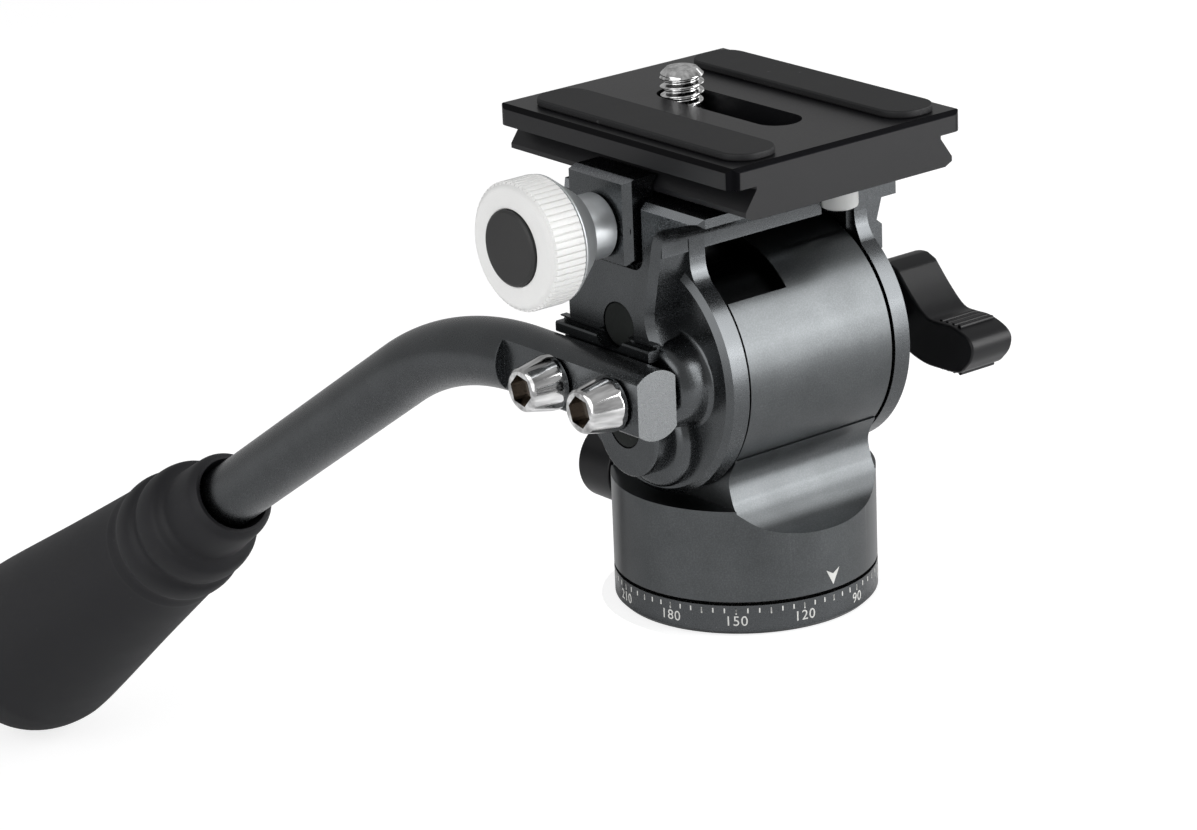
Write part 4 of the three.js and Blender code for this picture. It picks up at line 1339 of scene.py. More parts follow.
@dataclass
class PanHousing:
    """The casting that turns on the base: saddle, neck and damper drum."""

    radius: float = 19.0
    bottom: float = 4.99
    saddle_top: float = 18.5
    drum_radius: float = 17.65
    drum_half: float = 13.12
    drum_bore: float = 12.5
    ledge_top: float = 17.0
    ledge_bottom: float = 14.8
    nut_chamber: float = 8.5
    post_radius: float = 7.0
    stub_radius: float = 4.0
    bush_wall: float = 1.2
    bush_length: float = 3.7
    stud_radius: float = 2.5
    stud_height: float = 12.3
    notch_depth: float = 2.0
    notch_inner: float = 2.35
    notch_front: float = 41.5
    notch_rear: float = 190.5
    cove: Outline = (
        *((19.0, 14.15), (18.145, 14.539), (16.207, 15.652), (14.402, 17.432), (13.395, 18.656)),
        *((12.806, 19.954), (12.274, 22.254), (12.749, 24.034), (14.003, 26.037)),
    )
    marker_top: float = 7.95
    marker_tip: float = 5.61
    marker_notch: float = 7.25
    marker_half: float = 1.2
    marker_turn: float = 269.6
    edge: float = 0.22

    def casting(self) -> Form:
        """Makes the casting."""
        front = curved([(-y, z) for y, z in self.cove])
        rear = [(-y, z) for y, z in reversed(front)]
        beyond = self.radius + OVERRUN
        low = front[0][1]
        outline = [(-beyond, 0.0), (-beyond, low), *front, *rear, (beyond, low), (beyond, 0.0)]
        half = self.drum_half
        neck = Form.prism(Axis.X, outline, -half, half)
        saddle = Form.rod(Axis.Z, self.radius, self.bottom, self.saddle_top, SIDES_FINE)
        middle = Form.block((-half, half), (-beyond, beyond), (0.0, self.saddle_top + OVERRUN))
        tall = Form.rod(Axis.Z, self.radius, self.bottom, TILT_HEIGHT, SIDES_FINE)
        drum = Form.rod(Axis.X, self.drum_radius, -half, half, SIDES_FINE).moved(z=TILT_HEIGHT)
        body = saddle.cut(middle.cut(neck.copied())).join(neck.common(tall), drum)
        post = self.post_radius + GAP
        return body.cut(
            Form.rod(Axis.X, self.drum_bore, -half - OVERRUN, half + OVERRUN).moved(z=TILT_HEIGHT),
            Form.rod(Axis.Z, self.nut_chamber, self.ledge_top, TILT_HEIGHT),
            Form.rod(Axis.Z, self.stub_radius + GAP, 0, TILT_HEIGHT),
            Form.rod(Axis.Z, post, 0, self.ledge_bottom),
            Form.rod(Axis.Z, post + self.bush_wall + GAP, 0, self.bottom + GAP + self.bush_length + GAP),
            Form.rod(Axis.Y, self.stud_radius + GAP, 0, beyond, SIDES_SMALL).moved(z=self.stud_height),
            self.notch(),
        )

    def notch(self) -> Form:
        """Makes the sector that is cut from the drum for the stop pin."""
        turns = arc((0.0, 0.0), 1.0, 180 - self.notch_front, 180 - self.notch_rear, SIDES_SMALL)
        floor = self.drum_radius - self.notch_depth
        beyond = self.drum_radius + OVERRUN
        outline = [(floor * y, floor * z) for y, z in turns]
        outline += [(beyond * y, beyond * z) for y, z in reversed(turns)]
        form = Form.prism(Axis.X, outline, -self.drum_half - OVERRUN, -self.notch_inner)
        return form.moved(z=TILT_HEIGHT)

    def build(self, ring: BaseRing) -> None:
        """Makes the casting and the marker over the scale.

        Args:
            ring: The ring under the housing, whose wrapping the marker uses.
        """
        self.casting().bevelled(self.edge).piece("pan_casting", CASTING_GREY, Body.PAN, ["pan_housing"])
        outline = [
            (-self.marker_half, self.marker_top),
            (0.0, self.marker_tip),
            (self.marker_half, self.marker_top),
            (0.0, self.marker_notch),
        ]
        marker = Form.prism(Axis.Z, outline, -ring.ink, ring.ink)
        ring.wrapped(marker, self.marker_turn).piece("scale_marker", INK, Body.PAN)


@dataclass
class TiltFrame:
    """The frame that tilts: cheeks, arms, bridge, fixed jaw and what is fixed in it.

    Heights are over the tilt axis. Outlines across X are y, z, and those across Y are z, x.
    """

    cheek_inner: float = 13.6
    cheek_outer: float = 16.4
    cheek_radius: float = 17.84
    cheek_chamfer: Pair = (0.75, 0.85)
    web: float = 2.8
    front: float = 9.3
    rear: float = 11.4
    bridge_low: float = 19.16
    bridge_front: float = 9.2
    bed: float = 26.66
    side: float = 22.15
    shelf_right: float = 13.4
    shelf_reach: float = 18.5
    top_chamfer: float = 0.9
    block_chamfer: float = 1.0
    edge: float = 0.16
    nose_y: float = -7.6
    nose_foot: float = 7.15
    nose_flank: Outline = (
        *((5.0, 7.15), (4.85, 6.88), (4.6, 6.68), (4.2, 6.54), (3.3, 6.44), (2.3, 6.32), (1.6, 6.17)),
        *((1.0, 5.95), (0.55, 5.68), (0.22, 5.35), (0.06, 5.05), (0.0, 4.7)),
    )
    arm_front: Outline = ((-9.6, 5.2), (-8.2, 6.9), (-7.45, 8.2), (-7.1, 9.5), (-7.1, 10.8))
    shelf_lip: Outline = ((-9.2, 20.8), (-9.6, 21.75), (-10.25, 22.45), (-11.2, 22.95), (-18.5, 25.327))
    arm_rear: Outline = ((11.4, 6.478), (9.25, 0.8), (4.81, -5.332), (-1.2, -7.74), (-6.0, -3.0))
    web_sweep: Outline = ((-11.9, 13.2), (-10.65, 14.4), (-9.9, 15.5), (-9.45, 16.8), (-9.3, 18.4))
    web_foot: Outline = ((11.4, 0.0), (-11.0, 8.0))
    lower_boss: Rod = Rod(Axis.X, 6.4, -22.15, -13.6, (0.0, -1.2, -7.74), SIDES_MID)
    lower_edge: float = 0.5
    tier: Rod = Rod(Axis.X, 7.9, -19.5, -13.6, (0.0, -2.4, -8.3), SIDES_MID)
    tier_edge: float = 1.6
    seat_proud: float = 1.15
    seat_span: Pair = (-3.6, 10.4)
    seat_low: float = -2.99
    seat_edge: float = 0.3
    bead_low: float = 4.75
    bead_size: Pair = (1.85, 2.35)
    bead_front: float = 8.9
    bead_shares: Outline = (
        *((-0.1, 0), (0.9, 0), (1, 0.08), (1, 0.58), (0.9, 0.68), (0.2, 0.68), (0.12, 0.74)),
        *((0.12, 0.84), (0.2, 0.9), (0.45, 0.9), (0.5, 1), (-0.1, 1)),
    )
    right_boss: Rod = Rod(Axis.X, 8.0, 13.6, 19.3, sides=SIDES_MID)
    shoulder_low: float = 0.44
    shoulder: Outline = (
        *((0.871, 0.44), (0.871, 0.574), (0.826, 0.604), (0.876, 0.735), (0.989, 0.795)),
        *((1, 0.86), (1, 1)),
    )
    jaw: Outline = (
        *((24.66, 19.2), (24.66, 21.15), (26.3, 22.0), (29.31, 22.15), (JAW_TOP, 20.85)),
        *JAW_THROAT,
    )
    axle_pocket: Rod = Rod(Axis.X, 11.8, -16.5, -11.6, sides=SIDES_MID)
    lock_bore: Rod = Rod(Axis.X, STUD_BORE, 0, 21.3)
    jaw_pocket: Box = (-6.2, 8.2, 16.76, 30.66, 2.0)
    jaw_pocket_floor: float = 20.3
    spring_well: Rod = Rod(Axis.X, 3.75, -22.3, -16.7, (0.0, *CLAMP_PLACE), SIDES_MID)
    clamp_bore: Rod = Rod(Axis.X, STUD_BORE, -23.8, -7.7, (0.0, *CLAMP_PLACE))
    stop_bore: Rod = Rod(Axis.Z, BOLT_BORE, 17.16, 24.3, (-7.8, 9.5, 0.0))
    level_place: Triple = (11.0, -9.6, 0.0)
    level_well: Rod = Rod(Axis.Z, 3.05, 0, 24.5, (11.0, -9.6, 0.0), SIDES_MID)
    level_profile: Outline = (
        *((19.7, 0.0), (19.7, 2.3), (19.95, 2.65), (20.3, 2.75), (24.2, 2.75), (24.2, 0.0)),
    )
    plug_places: Outline = ((-0.4, 8.01), (-0.75, -6.76))
    plug_profile: Outline = ((-22.3, 0.0), (-22.3, 2.6), (-22.05, 3.1), (-20.8, 3.1), (-20.8, 0.0))
    plug_bore: Pair = (3.28, 18.1)
    bolt_start: float = 23.8
    bar_bore_end: float = 17.6
    pin_span: Pair = (-22.3, -12)
    beyond: float = 25.8

    def cheek(self, left: bool) -> Form:
        """Makes a cheek disc, the left one with its raised and bevelled face.

        Args:
            left: Whether it is the left one.

        Returns:
            The form.
        """
        inner, outer, radius = self.cheek_inner, self.cheek_outer, self.cheek_radius
        if not left:
            return Form.rod(Axis.X, radius, inner, outer, SIDES_FINE)
        proud, drop = self.cheek_chamfer
        rim = [(-inner, 0.0), (-inner, radius), (-outer, radius)]
        face = [(-outer - proud, radius - drop), (-outer - proud, 0.0)]
        return Form.turned(Axis.X, rim + face, SIDES_FINE)

    def left_arm(self) -> Form:
        """Makes the left arm with its nose, lower boss, bar seat and bead."""
        inner, side, chamfer = self.cheek_inner, self.side, self.block_chamfer
        top = [(-self.shelf_reach, self.bed), (self.rear, self.bed)]
        outline = [*self.arm_front, *self.shelf_lip, *top, *self.arm_rear]
        drawn_in = [
            (a, min(b, self.bed) if full[1] < self.bed else self.bed)
            for (a, b), full in zip(inset(outline, chamfer), outline)
        ]
        arm = Form.lofted(Axis.X, [(-side, drawn_in), (-side + chamfer, outline), (-inner, outline)])
        flank = [(back - side, width) for back, width in self.nose_flank]
        flank = [(-inner, 0.0), (-inner, self.nose_foot), *flank, (-side, 0.0)]
        nose = Form.turned(Axis.X, flank, SIDES_FINE).moved(0, self.nose_y, BAR_HEIGHT)
        rise = (self.seat_low, self.bead_low)
        seat = Form.block((-side - self.seat_proud, -inner), self.seat_span, rise)
        return arm.join(
            self.lower_boss.form().bevelled(self.lower_edge, 3),
            self.tier.form().bevelled(self.tier_edge, 4),
            nose,
            seat.bevelled(self.seat_edge),
            self.bead(),
        )

    def bead(self) -> Form:
        """Makes the grooved bead over the bar."""
        wide, tall = self.bead_size
        outline = [(self.bead_low + tall * up, -self.side - wide * out) for out, up in self.bead_shares]
        return Form.prism(Axis.Y, outline, -self.bead_front, self.rear)

    def right_arm(self) -> Form:
        """Makes the right arm, its shoulder and the lock's boss."""
        bed, inner = self.bed, self.cheek_inner
        shoulder = [(bed * up, self.side * out) for out, up in self.shoulder]
        outline = [(bed * self.shoulder_low, inner), *shoulder, (bed, inner)]
        return Form.prism(Axis.Y, outline, -self.front, self.rear).join(self.right_boss.form())

    def cutters(self) -> list[Form]:
        """Makes everything that is bored, pocketed or slotted in the frame."""
        side, beyond = self.side, -self.beyond
        pocket = Form.prism(Axis.X, rounded_box(*self.jaw_pocket), beyond, -self.jaw_pocket_floor)
        tools = [self.axle_pocket.form(), self.lock_bore.form(), pocket]
        for rod in (self.spring_well, self.clamp_bore, self.stop_bore, self.level_well):
            tools.append(rod.form())
        rods = []
        radius, floor = self.plug_bore
        for place in self.plug_places:
            rods.append(Rod(Axis.X, radius, beyond, -floor, (0.0, *place), SIDES_MID))
            rods.append(Rod(Axis.X, BOLT_BORE, -self.bolt_start, 0, (0.0, *place)))
        end, height = -self.bar_bore_end, CLAMP_PLACE[1]
        rods += [Rod(Axis.X, STUD_BORE, beyond, end, (0.0, y, BAR_HEIGHT)) for y in BAR_SCREWS]
        rods += [Rod(Axis.X, PIN_BORE, *self.pin_span, (0.0, y, height)) for y in JAW_PINS]
        edge = corner_wedge((self.bed, -side), self.top_chamfer, (-1, 1))
        edge_form = Form.prism(Axis.Y, edge, -self.shelf_reach - OVERRUN, self.rear + OVERRUN)
        return [*tools, *(rod.form() for rod in rods), edge_form]

    def casting(self) -> Form:
        """Makes the frame."""
        front, rear, bed = -self.front, self.rear, self.bed
        left, behind = self.block_chamfer - self.side, -self.bridge_front
        bridge = Form.block((left, self.side), (behind, rear), (self.bridge_low, bed))
        shelf = [(behind, self.bridge_low), *self.shelf_lip, (-self.shelf_reach, bed), (behind, bed)]
        outline = [*curved(self.web_sweep, SWEEP_STEPS), (front, bed), (rear, bed), *self.web_foot]
        starts = (-self.cheek_outer, self.cheek_inner)
        whole = self.left_arm().join(
            self.right_arm(),
            self.cheek(True),
            self.cheek(False),
            *(Form.prism(Axis.X, outline, start, start + self.web) for start in starts),
            bridge,
            Form.prism(Axis.X, shelf, left, self.shelf_right),
            Form.prism(Axis.Y, self.jaw, front, rear),
        )
        return whole.cut(*self.cutters()).moved(z=TILT_HEIGHT)

    def build(self) -> None:
        """Makes the frame, its plugs and the level."""
        self.casting().bevelled(self.edge).piece("frame_casting", FRAME_GREY, Body.TILT, ["tilt_frame"])
        for name, (y, z) in zip(("upper", "lower"), self.plug_places):
            plug = Form.turned(Axis.X, self.plug_profile).moved(0, y, z + TILT_HEIGHT)
            plug.piece(f"plug_{name}", PLUG_RUBBER, Body.TILT, [f"bolt_plug_{name}"])
        vial = Form.turned(Axis.Z, self.level_profile).moved(*self.level_place).moved(z=TILT_HEIGHT)
        vial.piece("level", CLEAR, Body.TILT, ["level_vial"])


@dataclass
class PanBar:
    """The cranked bar, its two screws and the rubber grip."""

    radius: float = 4.98
    out: float = 27.0
    front: float = 14.07
    flat_outer: float = 3.35
    flat_inner: float = 3.4
    flat_rear: float = 15.3
    edge: float = 0.22
    bend_start: float = 13.84
    bend_radius: float = 55.3
    bend: float = 33.36
    grip_start: float = 56.5
    in_grip: float = 62.0
    screw_edge: float = 0.1
    screw_profile: Outline = (
        *((-36.1, 0.0), (-36.1, 2.75), (-35.75, 3.12), (-31.7, 3.95), (-30.75, 4.0), (-30.65, 3.9)),
        *((-30.65, 2.5), (-17.9, 2.5), (-17.9, 0.0)),
    )
    socket: Rod = Rod(Axis.X, 2.3, -38.1, -33.5, sides=6)
    socket_turn: float = 12.0
    grip_length: float = 92.0
    grip_radius: float = 14.9
    grip_lean: float = 1.3
    grip_edge: float = 0.3
    mouth_radius: float = 6.3
    mouth_round: float = 0.15
    mouth_depth: float = 3.0
    grip_shares: Outline = (
        *((0.004, 0.45), (0.016, 0.485), (0.04, 0.5), (0.085, 0.512), (0.1, 0.522), (0.108, 0.56)),
        *((0.118, 0.63), (0.14, 0.66), (0.162, 0.662), (0.176, 0.64), (0.184, 0.645), (0.194, 0.688)),
        *((0.21, 0.708), (0.23, 0.706), (0.243, 0.682), (0.252, 0.682), (0.27, 0.702), (0.3, 0.716)),
        *((0.5, 0.825), (0.7, 0.945), (0.79, 0.992), (0.83, 0.998), (0.88, 0.955), (0.925, 0.86)),
        *((0.962, 0.69), (0.985, 0.48), (0.997, 0.22), (1.0, 0.0)),
    )

    def sloped(self, reach: float) -> Pair:
        """Returns the y and z of a place on the bar's sloped part, from its start."""
        down = math.radians(self.bend)
        y = self.bend_start + self.bend_radius * math.sin(down) + reach * math.cos(down)
        return y, BAR_HEIGHT - self.bend_radius * (1 - math.cos(down)) - reach * math.sin(down)

    def line(self) -> list[Triple]:
        """Draws the bar's middle line from its front end down into the grip."""
        line = [(-self.out, -self.front, BAR_HEIGHT)]
        for step in range(SIDES_SMALL + 1):
            turn = math.radians(self.bend * step / SIDES_SMALL)
            y = self.bend_start + self.bend_radius * math.sin(turn)
            line.append((-self.out, y, BAR_HEIGHT - self.bend_radius * (1 - math.cos(turn))))
        line.append((-self.out, *self.sloped(self.grip_start + self.in_grip)))
        return line

    def bar(self, sweep: SweepTree) -> Form:
        """Makes the bar with its flats and bores.

        Args:
            sweep: The tree that draws the bar.

        Returns:
            The form.
        """
        beyond = self.radius + OVERRUN
        span = (-self.front - OVERRUN, self.flat_rear)
        rise = (BAR_HEIGHT - beyond, BAR_HEIGHT + beyond)
        form = sweep.swept(self.line(), self.radius, SIDES_MID, ANODISED_GREY).cut(
            Form.block((-self.out - beyond, -self.out - self.flat_outer), span, rise),
            Form.block((-self.out + self.flat_inner, -self.out + beyond), span, rise),
        )
        for back in BAR_SCREWS:
            start, end = -self.out - self.radius, -self.out + self.radius
            form = form.cut(Rod(Axis.X, STUD_BORE, start, end, (0.0, back, BAR_HEIGHT)).form())
        return form.bevelled(self.edge)

    def cone_screw(self) -> Form:
        """Makes a cone-headed screw with its hexagon socket."""
        hexagon = self.socket.form().spun(Axis.X, self.socket_turn)
        return Form.turned(Axis.X, self.screw_profile).cut(hexagon).bevelled(self.screw_edge)

    def grip(self) -> Form:
        """Makes the grip where it sits on the bar."""
        rows = [(share * self.grip_length, part * self.grip_radius) for share, part in self.grip_shares]
        mouth = [(0.0, 0.0), (0.0, self.mouth_radius + self.mouth_round)]
        profile = [(along, max(radius, 0.0)) for along, radius in [*mouth, *curved(rows, 4)]]
        sleeve = Form.turned(Axis.Y, profile).spun(Axis.X, -self.grip_lean)
        wall, deep = self.radius + GAP, self.mouth_depth
        funnel = [(-OVERRUN, 0.0), (-OVERRUN, self.mouth_radius), (deep, wall), (deep, 0.0)]
        bore = Form.rod(Axis.Y, wall, -OVERRUN, self.in_grip + GAP)
        form = sleeve.cut(bore, Form.turned(Axis.Y, funnel)).bevelled(self.grip_edge)
        y, z = self.sloped(self.grip_start)
        return form.spun(Axis.X, -self.bend).moved(-self.out, y, z + TILT_HEIGHT)

    def build(self, sweep: SweepTree) -> None:
        """Makes the bar, its screws and the grip.

        Args:
            sweep: The tree that draws the bar.
        """
        self.bar(sweep).moved(z=TILT_HEIGHT).piece("handle_bar", BAR_GREY, Body.TILT, ["pan_bar"])
        for name, back in zip(("rear", "front"), BAR_SCREWS):
            screw = self.cone_screw().moved(0, back, BAR_HEIGHT + TILT_HEIGHT)
            screw.piece(f"cone_screw_{name}", SCREW_STEEL, Body.TILT, [f"bar_screw_{name}"])
        self.grip().piece("handle_grip", GRIP_RUBBER, Body.TILT, ["bar_grip"], sharp=60.0)


@dataclass
class Clamp:
    """The sliding jaw and the knob that closes it; profiles are places along X and radii."""

    face: float = 23.8
    jaw_inner: float = 20.6
    jaw_front: float = 5.2
    jaw_back: float = 7.2
    jaw_bottom: float = 17.66
    jaw_chamfer: float = 1.0
    foot_chamfer: float = 0.8
    jaw_edge: float = 0.25
    jaw_far: float = 1.0
    hook: Outline = ((26.96, 20.6), (26.96, 19.2))
    jaw_crown: Outline = ((JAW_TOP, 22.5), (29.31, 23.8))
    clamp_bore: Rod = Rod(Axis.X, STUD_BORE, -25.8, 0, (0.0, *CLAMP_PLACE))
    pin_span: Pair = (-23.1, -18.6)
    ridge_count: int = 60
    ridge_span: Pair = (-38.65, -33.05)
    ridge_rows: tuple[Triple, ...] = ((8.4, 0.45, 0.0), (9.05, 0.34, 0.38), (9.1, 0.22, 0.5))
    knob_profile: Outline = (
        *((-37.4, 0.0), (-37.4, 5.42), (-38.88, 5.42), (-39.0, 5.54), (-39.0, 7.95), (-38.84, 8.38)),
        *((-38.5, 8.68), (-38.2, 8.78), (-33.3, 8.78), (-33.2, 8.68), (-33.2, 0.0)),
    )
    cone_profile: Outline = ((-33.18, 0.0), (-33.18, 8.98), (-33.0, 9.0), (-29.2, 6.23), (-29.2, 0.0))
    cap_profile: Outline = ((-39.6, 0.0), (-39.6, 4.99), (-39.35, 5.34), (-37.6, 5.34), (-37.6, 0.0))
    boss_profile: Outline = ((-28.9, 2.8), (-28.9, 4.65), (-24.4, 4.65), (-24.1, 4.4), (-24.1, 2.8))

    def jaw(self) -> Form:
        """Makes the sliding jaw."""
        low, far = self.jaw_bottom, self.jaw_far
        edge = [(low, self.face), (low, self.jaw_inner), *self.hook, *reversed(JAW_THROAT), *self.jaw_crown]
        form = Form.prism(Axis.Y, [(z, -x) for z, x in edge], -self.jaw_front, self.jaw_back)
        pins = [Rod(Axis.X, PIN_BORE, *self.pin_span, (0.0, y, CLAMP_PLACE[1])) for y in JAW_PINS]
        front = corner_wedge((-self.face, -self.jaw_front), self.jaw_chamfer, (1, 1))
        foot = corner_wedge((-self.jaw_front, low), self.foot_chamfer, (1, 1))
        return form.cut(
            *(rod.form() for rod in (self.clamp_bore, *pins)),
            Form.prism(Axis.Z, front, low - far, JAW_TOP + far),
            Form.prism(Axis.X, foot, -self.face - far, -self.jaw_inner + far),
        ).bevelled(self.jaw_edge, 3)

    def ridge(self) -> Form:
        """Makes one ridge of the knurl, at the knob's +Z."""
        start, end = self.ridge_span
        points = [
            (x, side * half, radius)
            for radius, half, short in self.ridge_rows
            for x in (start + short, end - short)
            for side in (-1, 1)
        ]
        faces = [(0, 1, 3, 2), (8, 9, 11, 10)]
        for row in (0, 4):
            for a, b in ((0, 1), (1, 3), (3, 2), (2, 0)):
                faces.append((row + a, row + b, row + 4 + b, row + 4 + a))
        return Form.made(points, faces)

    def build(self, copies: CopiesTree) -> None:
        """Makes the jaw, the knob with its ridges, its cap and its boss.

        Args:
            copies: The tree that sets the copies.
        """
        self.jaw().moved(z=TILT_HEIGHT).piece("sliding_jaw", JAW_GREY, Body.JAW, ["clamp_jaw"])
        y, z = CLAMP_PLACE
        step = 360 / self.ridge_count
        ridges = copies.copies(self.ridge(), WHITE, self.ridge_count, Axis.X, 0.0, step)
        body = Form.turned(Axis.X, self.knob_profile, SIDES_FINE)
        cone, cap, boss = (
            Form.turned(Axis.X, profile)
            for profile in (self.cone_profile, self.cap_profile, self.boss_profile)
        )
        for form, name, finish, replaces in (
            (body, "knob_drum", WHITE, ["knob_body"]),
            (ridges, "knob_ridges", WHITE, []),
            (cone, "knob_cone", GREY_STEEL, []),
            (cap, "knob_disc", KNOB_CAP, ["knob_cap"]),
            (boss, "knob_neck", BRIGHT_STEEL, ["knob_boss"]),
        ):
            form.moved(0, y, z + TILT_HEIGHT).piece(name, finish, Body.KNOB, replaces)


@dataclass
class CameraPlate:
    """The dovetail plate with its pads and the camera screw; heights are over the tilt axis."""

    half: float = 21.1
    front: float = 24.33
    back: float = 26.3
    top: float = 34.62
    bottom: float = 26.96
    edge: float = 0.6
    fine_edge: float = 0.14
    corner: float = 1.7
    dovetail: Outline = (
        *((26.96, 17.6), (27.56, 18.9), (28.26, 18.9), (31.11, 16.85), (31.56, 16.85)),
        *((31.56, 21.1), (34.02, 21.1), (34.62, 20.5)),
    )
    slot: Box = (-3.45, 3.45, -12.9, 14.5, 3.449)
    recess: Box = (-8.0, 8.0, -16.9, 18.5, 6.0)
    recess_top: float = 30.86
    pad_height: float = 1.1
    pad_inner: float = 10.3
    pad_outer: float = 18.65
    pad_span: Pair = (-23.0, 22.6)
    pad_corner: float = 3.6
    pad_edge: float = 0.28
    screw_y: float = 10.75
    screw_top: float = 38.45
    screw_dome: float = 0.95
    screw_radius: float = 3.175
    shank: Outline = (
        *((27.56, 0.0), (27.56, 6.8), (27.76, 7.0), (29.56, 7.0), (29.56, 3.175), (31.82, 3.175)),
        (31.82, 0.0),
    )
    coin_slot: tuple[Pair, Pair, Pair] = ((-0.7, 0.7), (-9.0, 9.0), (26.96, 28.56))
    thread_start: float = 31.42
    thread_rows: int = 70
    thread_pitch: float = 1.27
    thread_depth: float = 0.75
    thread_flank: Pair = (0.07, 0.36)
    thread_fade: Pair = (0.4, 0.7)

    def plate(self) -> Form:
        """Makes the plate."""
        section = [*self.dovetail, *((z, -x) for z, x in reversed(self.dovetail))]
        low, high, beside = self.bottom - OVERRUN, self.top + OVERRUN, self.half + OVERRUN
        plan = rounded_box(-self.half, self.half, -self.front, self.back, self.corner)
        form = Form.prism(Axis.Y, section, -self.front, self.back).common(Form.prism(Axis.Z, plan, low, high))
        for end, inward in ((-self.front, 1), (self.back, -1)):
            edge = corner_wedge((end, self.top), self.edge, (inward, -1))
            form = form.cut(Form.prism(Axis.X, edge, -beside, beside))
        slot, recess = rounded_box(*self.slot), rounded_box(*self.recess)
        form = form.cut(Form.prism(Axis.Z, slot, low, high), Form.prism(Axis.Z, recess, low, self.recess_top))
        return form.bevelled(self.fine_edge)

    def thread_ring(self, z: float) -> list[Pair]:
        """Draws the thread's outline at a height.

        Args:
            z: The height.

        Returns:
            The outline's places.
        """
        root, flank = self.thread_flank
        turns = (z - self.thread_start) / self.thread_pitch
        below = self.screw_top - self.screw_dome - z
        fade = max(0.0, min(1.0, turns, self.thread_fade[0] + below / self.thread_fade[1]))
        ring = []
        for side in range(SIDES_MID):
            share = (turns - side / SIDES_MID) % 1.0
            crest = max(0.0, min(1.0, (abs(share - 0.5) - root) / flank))
            radius = self.screw_radius - self.thread_depth * (1 - crest) * fade
            radius = min(radius, self.screw_radius + min(0.0, below))
            angle = 2 * math.pi * side / SIDES_MID
            ring.append((radius * math.cos(angle), radius * math.sin(angle)))
        return ring

    def screw(self) -> Form:
        """Makes the camera screw with its helical thread."""
        tall, rows = self.screw_top - self.thread_start, self.thread_rows
        heights = [self.thread_start + tall * at / rows for at in range(rows + 1)]
        thread = Form.lofted(Axis.Z, [(z, self.thread_ring(z)) for z in heights])
        return Form.turned(Axis.Z, self.shank).cut(Form.block(*self.coin_slot)).join(thread)

    def build(self) -> None:
        """Makes the plate, its pads and the camera screw."""
        self.plate().moved(z=TILT_HEIGHT).piece("dovetail_plate", PLATE_BLACK, Body.PLATE, ["camera_plate"])
        left, right = (-self.pad_outer, -self.pad_inner), (self.pad_inner, self.pad_outer)
        for side, ends in (("left", left), ("right", right)):
            outline = rounded_box(*ends, *self.pad_span, self.pad_corner)
            pad = Form.prism(Axis.Z, outline, self.top, self.top + self.pad_height)
            pad = pad.bevelled(self.pad_edge, 3)
            pad.moved(z=TILT_HEIGHT).piece(f"grip_pad_{side}", RUBBER, Body.PLATE, [f"plate_pad_{side}"])
        screw = self.screw().moved(0, self.screw_y, TILT_HEIGHT)
        screw.piece("quarter_inch_screw", POLISHED_STEEL, Body.CAMERA_SCREW, ["camera_screw"], sharp=60.0)


@dataclass
class LockLever:
    """A lock lever: neck and hub along X, arm to -Y, and all of it turned about Z."""

    name: str
    node: str
    body: Body
    neck: float
    start: float
    height: float
    turn: float = 0.0
    width: float = 7.0
    hub: float = 5.5
    hub_span: Pair = (-105, 95)
    reach: float = 17.8
    edge: float = 1.0
    edge_degrees: float = 50.0
    neck_radius: float = 3.5
    neck_flare: float = 0.4
    neck_in_hub: float = 1.0
    rib_count: int = 4
    rib_pitch: float = 1.25
    rib_radius: float = 0.36
    rib_sides: int = 16
    rib_margin: float = 0.75
    rib_start: float = 0.6
    rib_heights: Pair = (-0.0775, -0.465)
    shares: Outline = (
        *((-0.12, 0.27), (-0.287, 0.088), (-0.455, -0.053), (-0.6, -0.07), (-0.753, -0.07)),
        *((-0.93, -0.125), (-1.0, -0.2), (-0.985, -0.3), (-0.927, -0.38), (-0.826, -0.457)),
        *((-0.6, -0.47), (-0.421, -0.463), (-0.225, -0.4), (-0.1, -0.29)),
    )

    def arm(self) -> Form:
        """Makes the arm and hub."""
        hub = arc((0.0, 0.0), self.hub, *self.hub_span, HUB_STEPS)
        edge = curved([(self.reach * a, self.reach * b) for a, b in self.shares], SWEEP_STEPS)
        form = Form.prism(Axis.X, [*hub, *edge], self.start, self.start + self.width)
        return form.bevelled(self.edge, 5, self.edge_degrees)

    def build(self, copies: CopiesTree) -> None:
        """Makes the lever with its neck and ribs.

        Args:
            copies: The tree that sets the ribs.
        """
        end, radius = self.start + self.neck_in_hub, self.neck_radius
        foot = [(self.neck, STUD_BORE), (self.neck, radius)]
        neck = [*foot, (end, radius + self.neck_flare), (end, STUD_BORE)]
        forms = {"arm": self.arm(), "neck": Form.turned(Axis.X, neck)}
        span = (self.start + self.rib_margin, self.start + self.width - self.rib_margin)
        rib = Form.rod(Axis.X, self.rib_radius, *span, self.rib_sides)
        step = (0.0, -self.rib_pitch, 0.0)
        for side, share in zip(("top", "under"), self.rib_heights):
            placed = rib.copied().moved(0, -self.reach * self.rib_start, self.reach * share)
            forms[f"{side}_ribs"] = copies.copies(placed, BLACK_PLASTIC, self.rib_count, offset=step)
        for part, form in forms.items():
            form.spun(Axis.Z, self.turn).moved(z=self.height)
            replaces = [self.node] if part == "arm" else []
            form.piece(f"{self.name}_{part}", BLACK_PLASTIC, self.body, replaces)


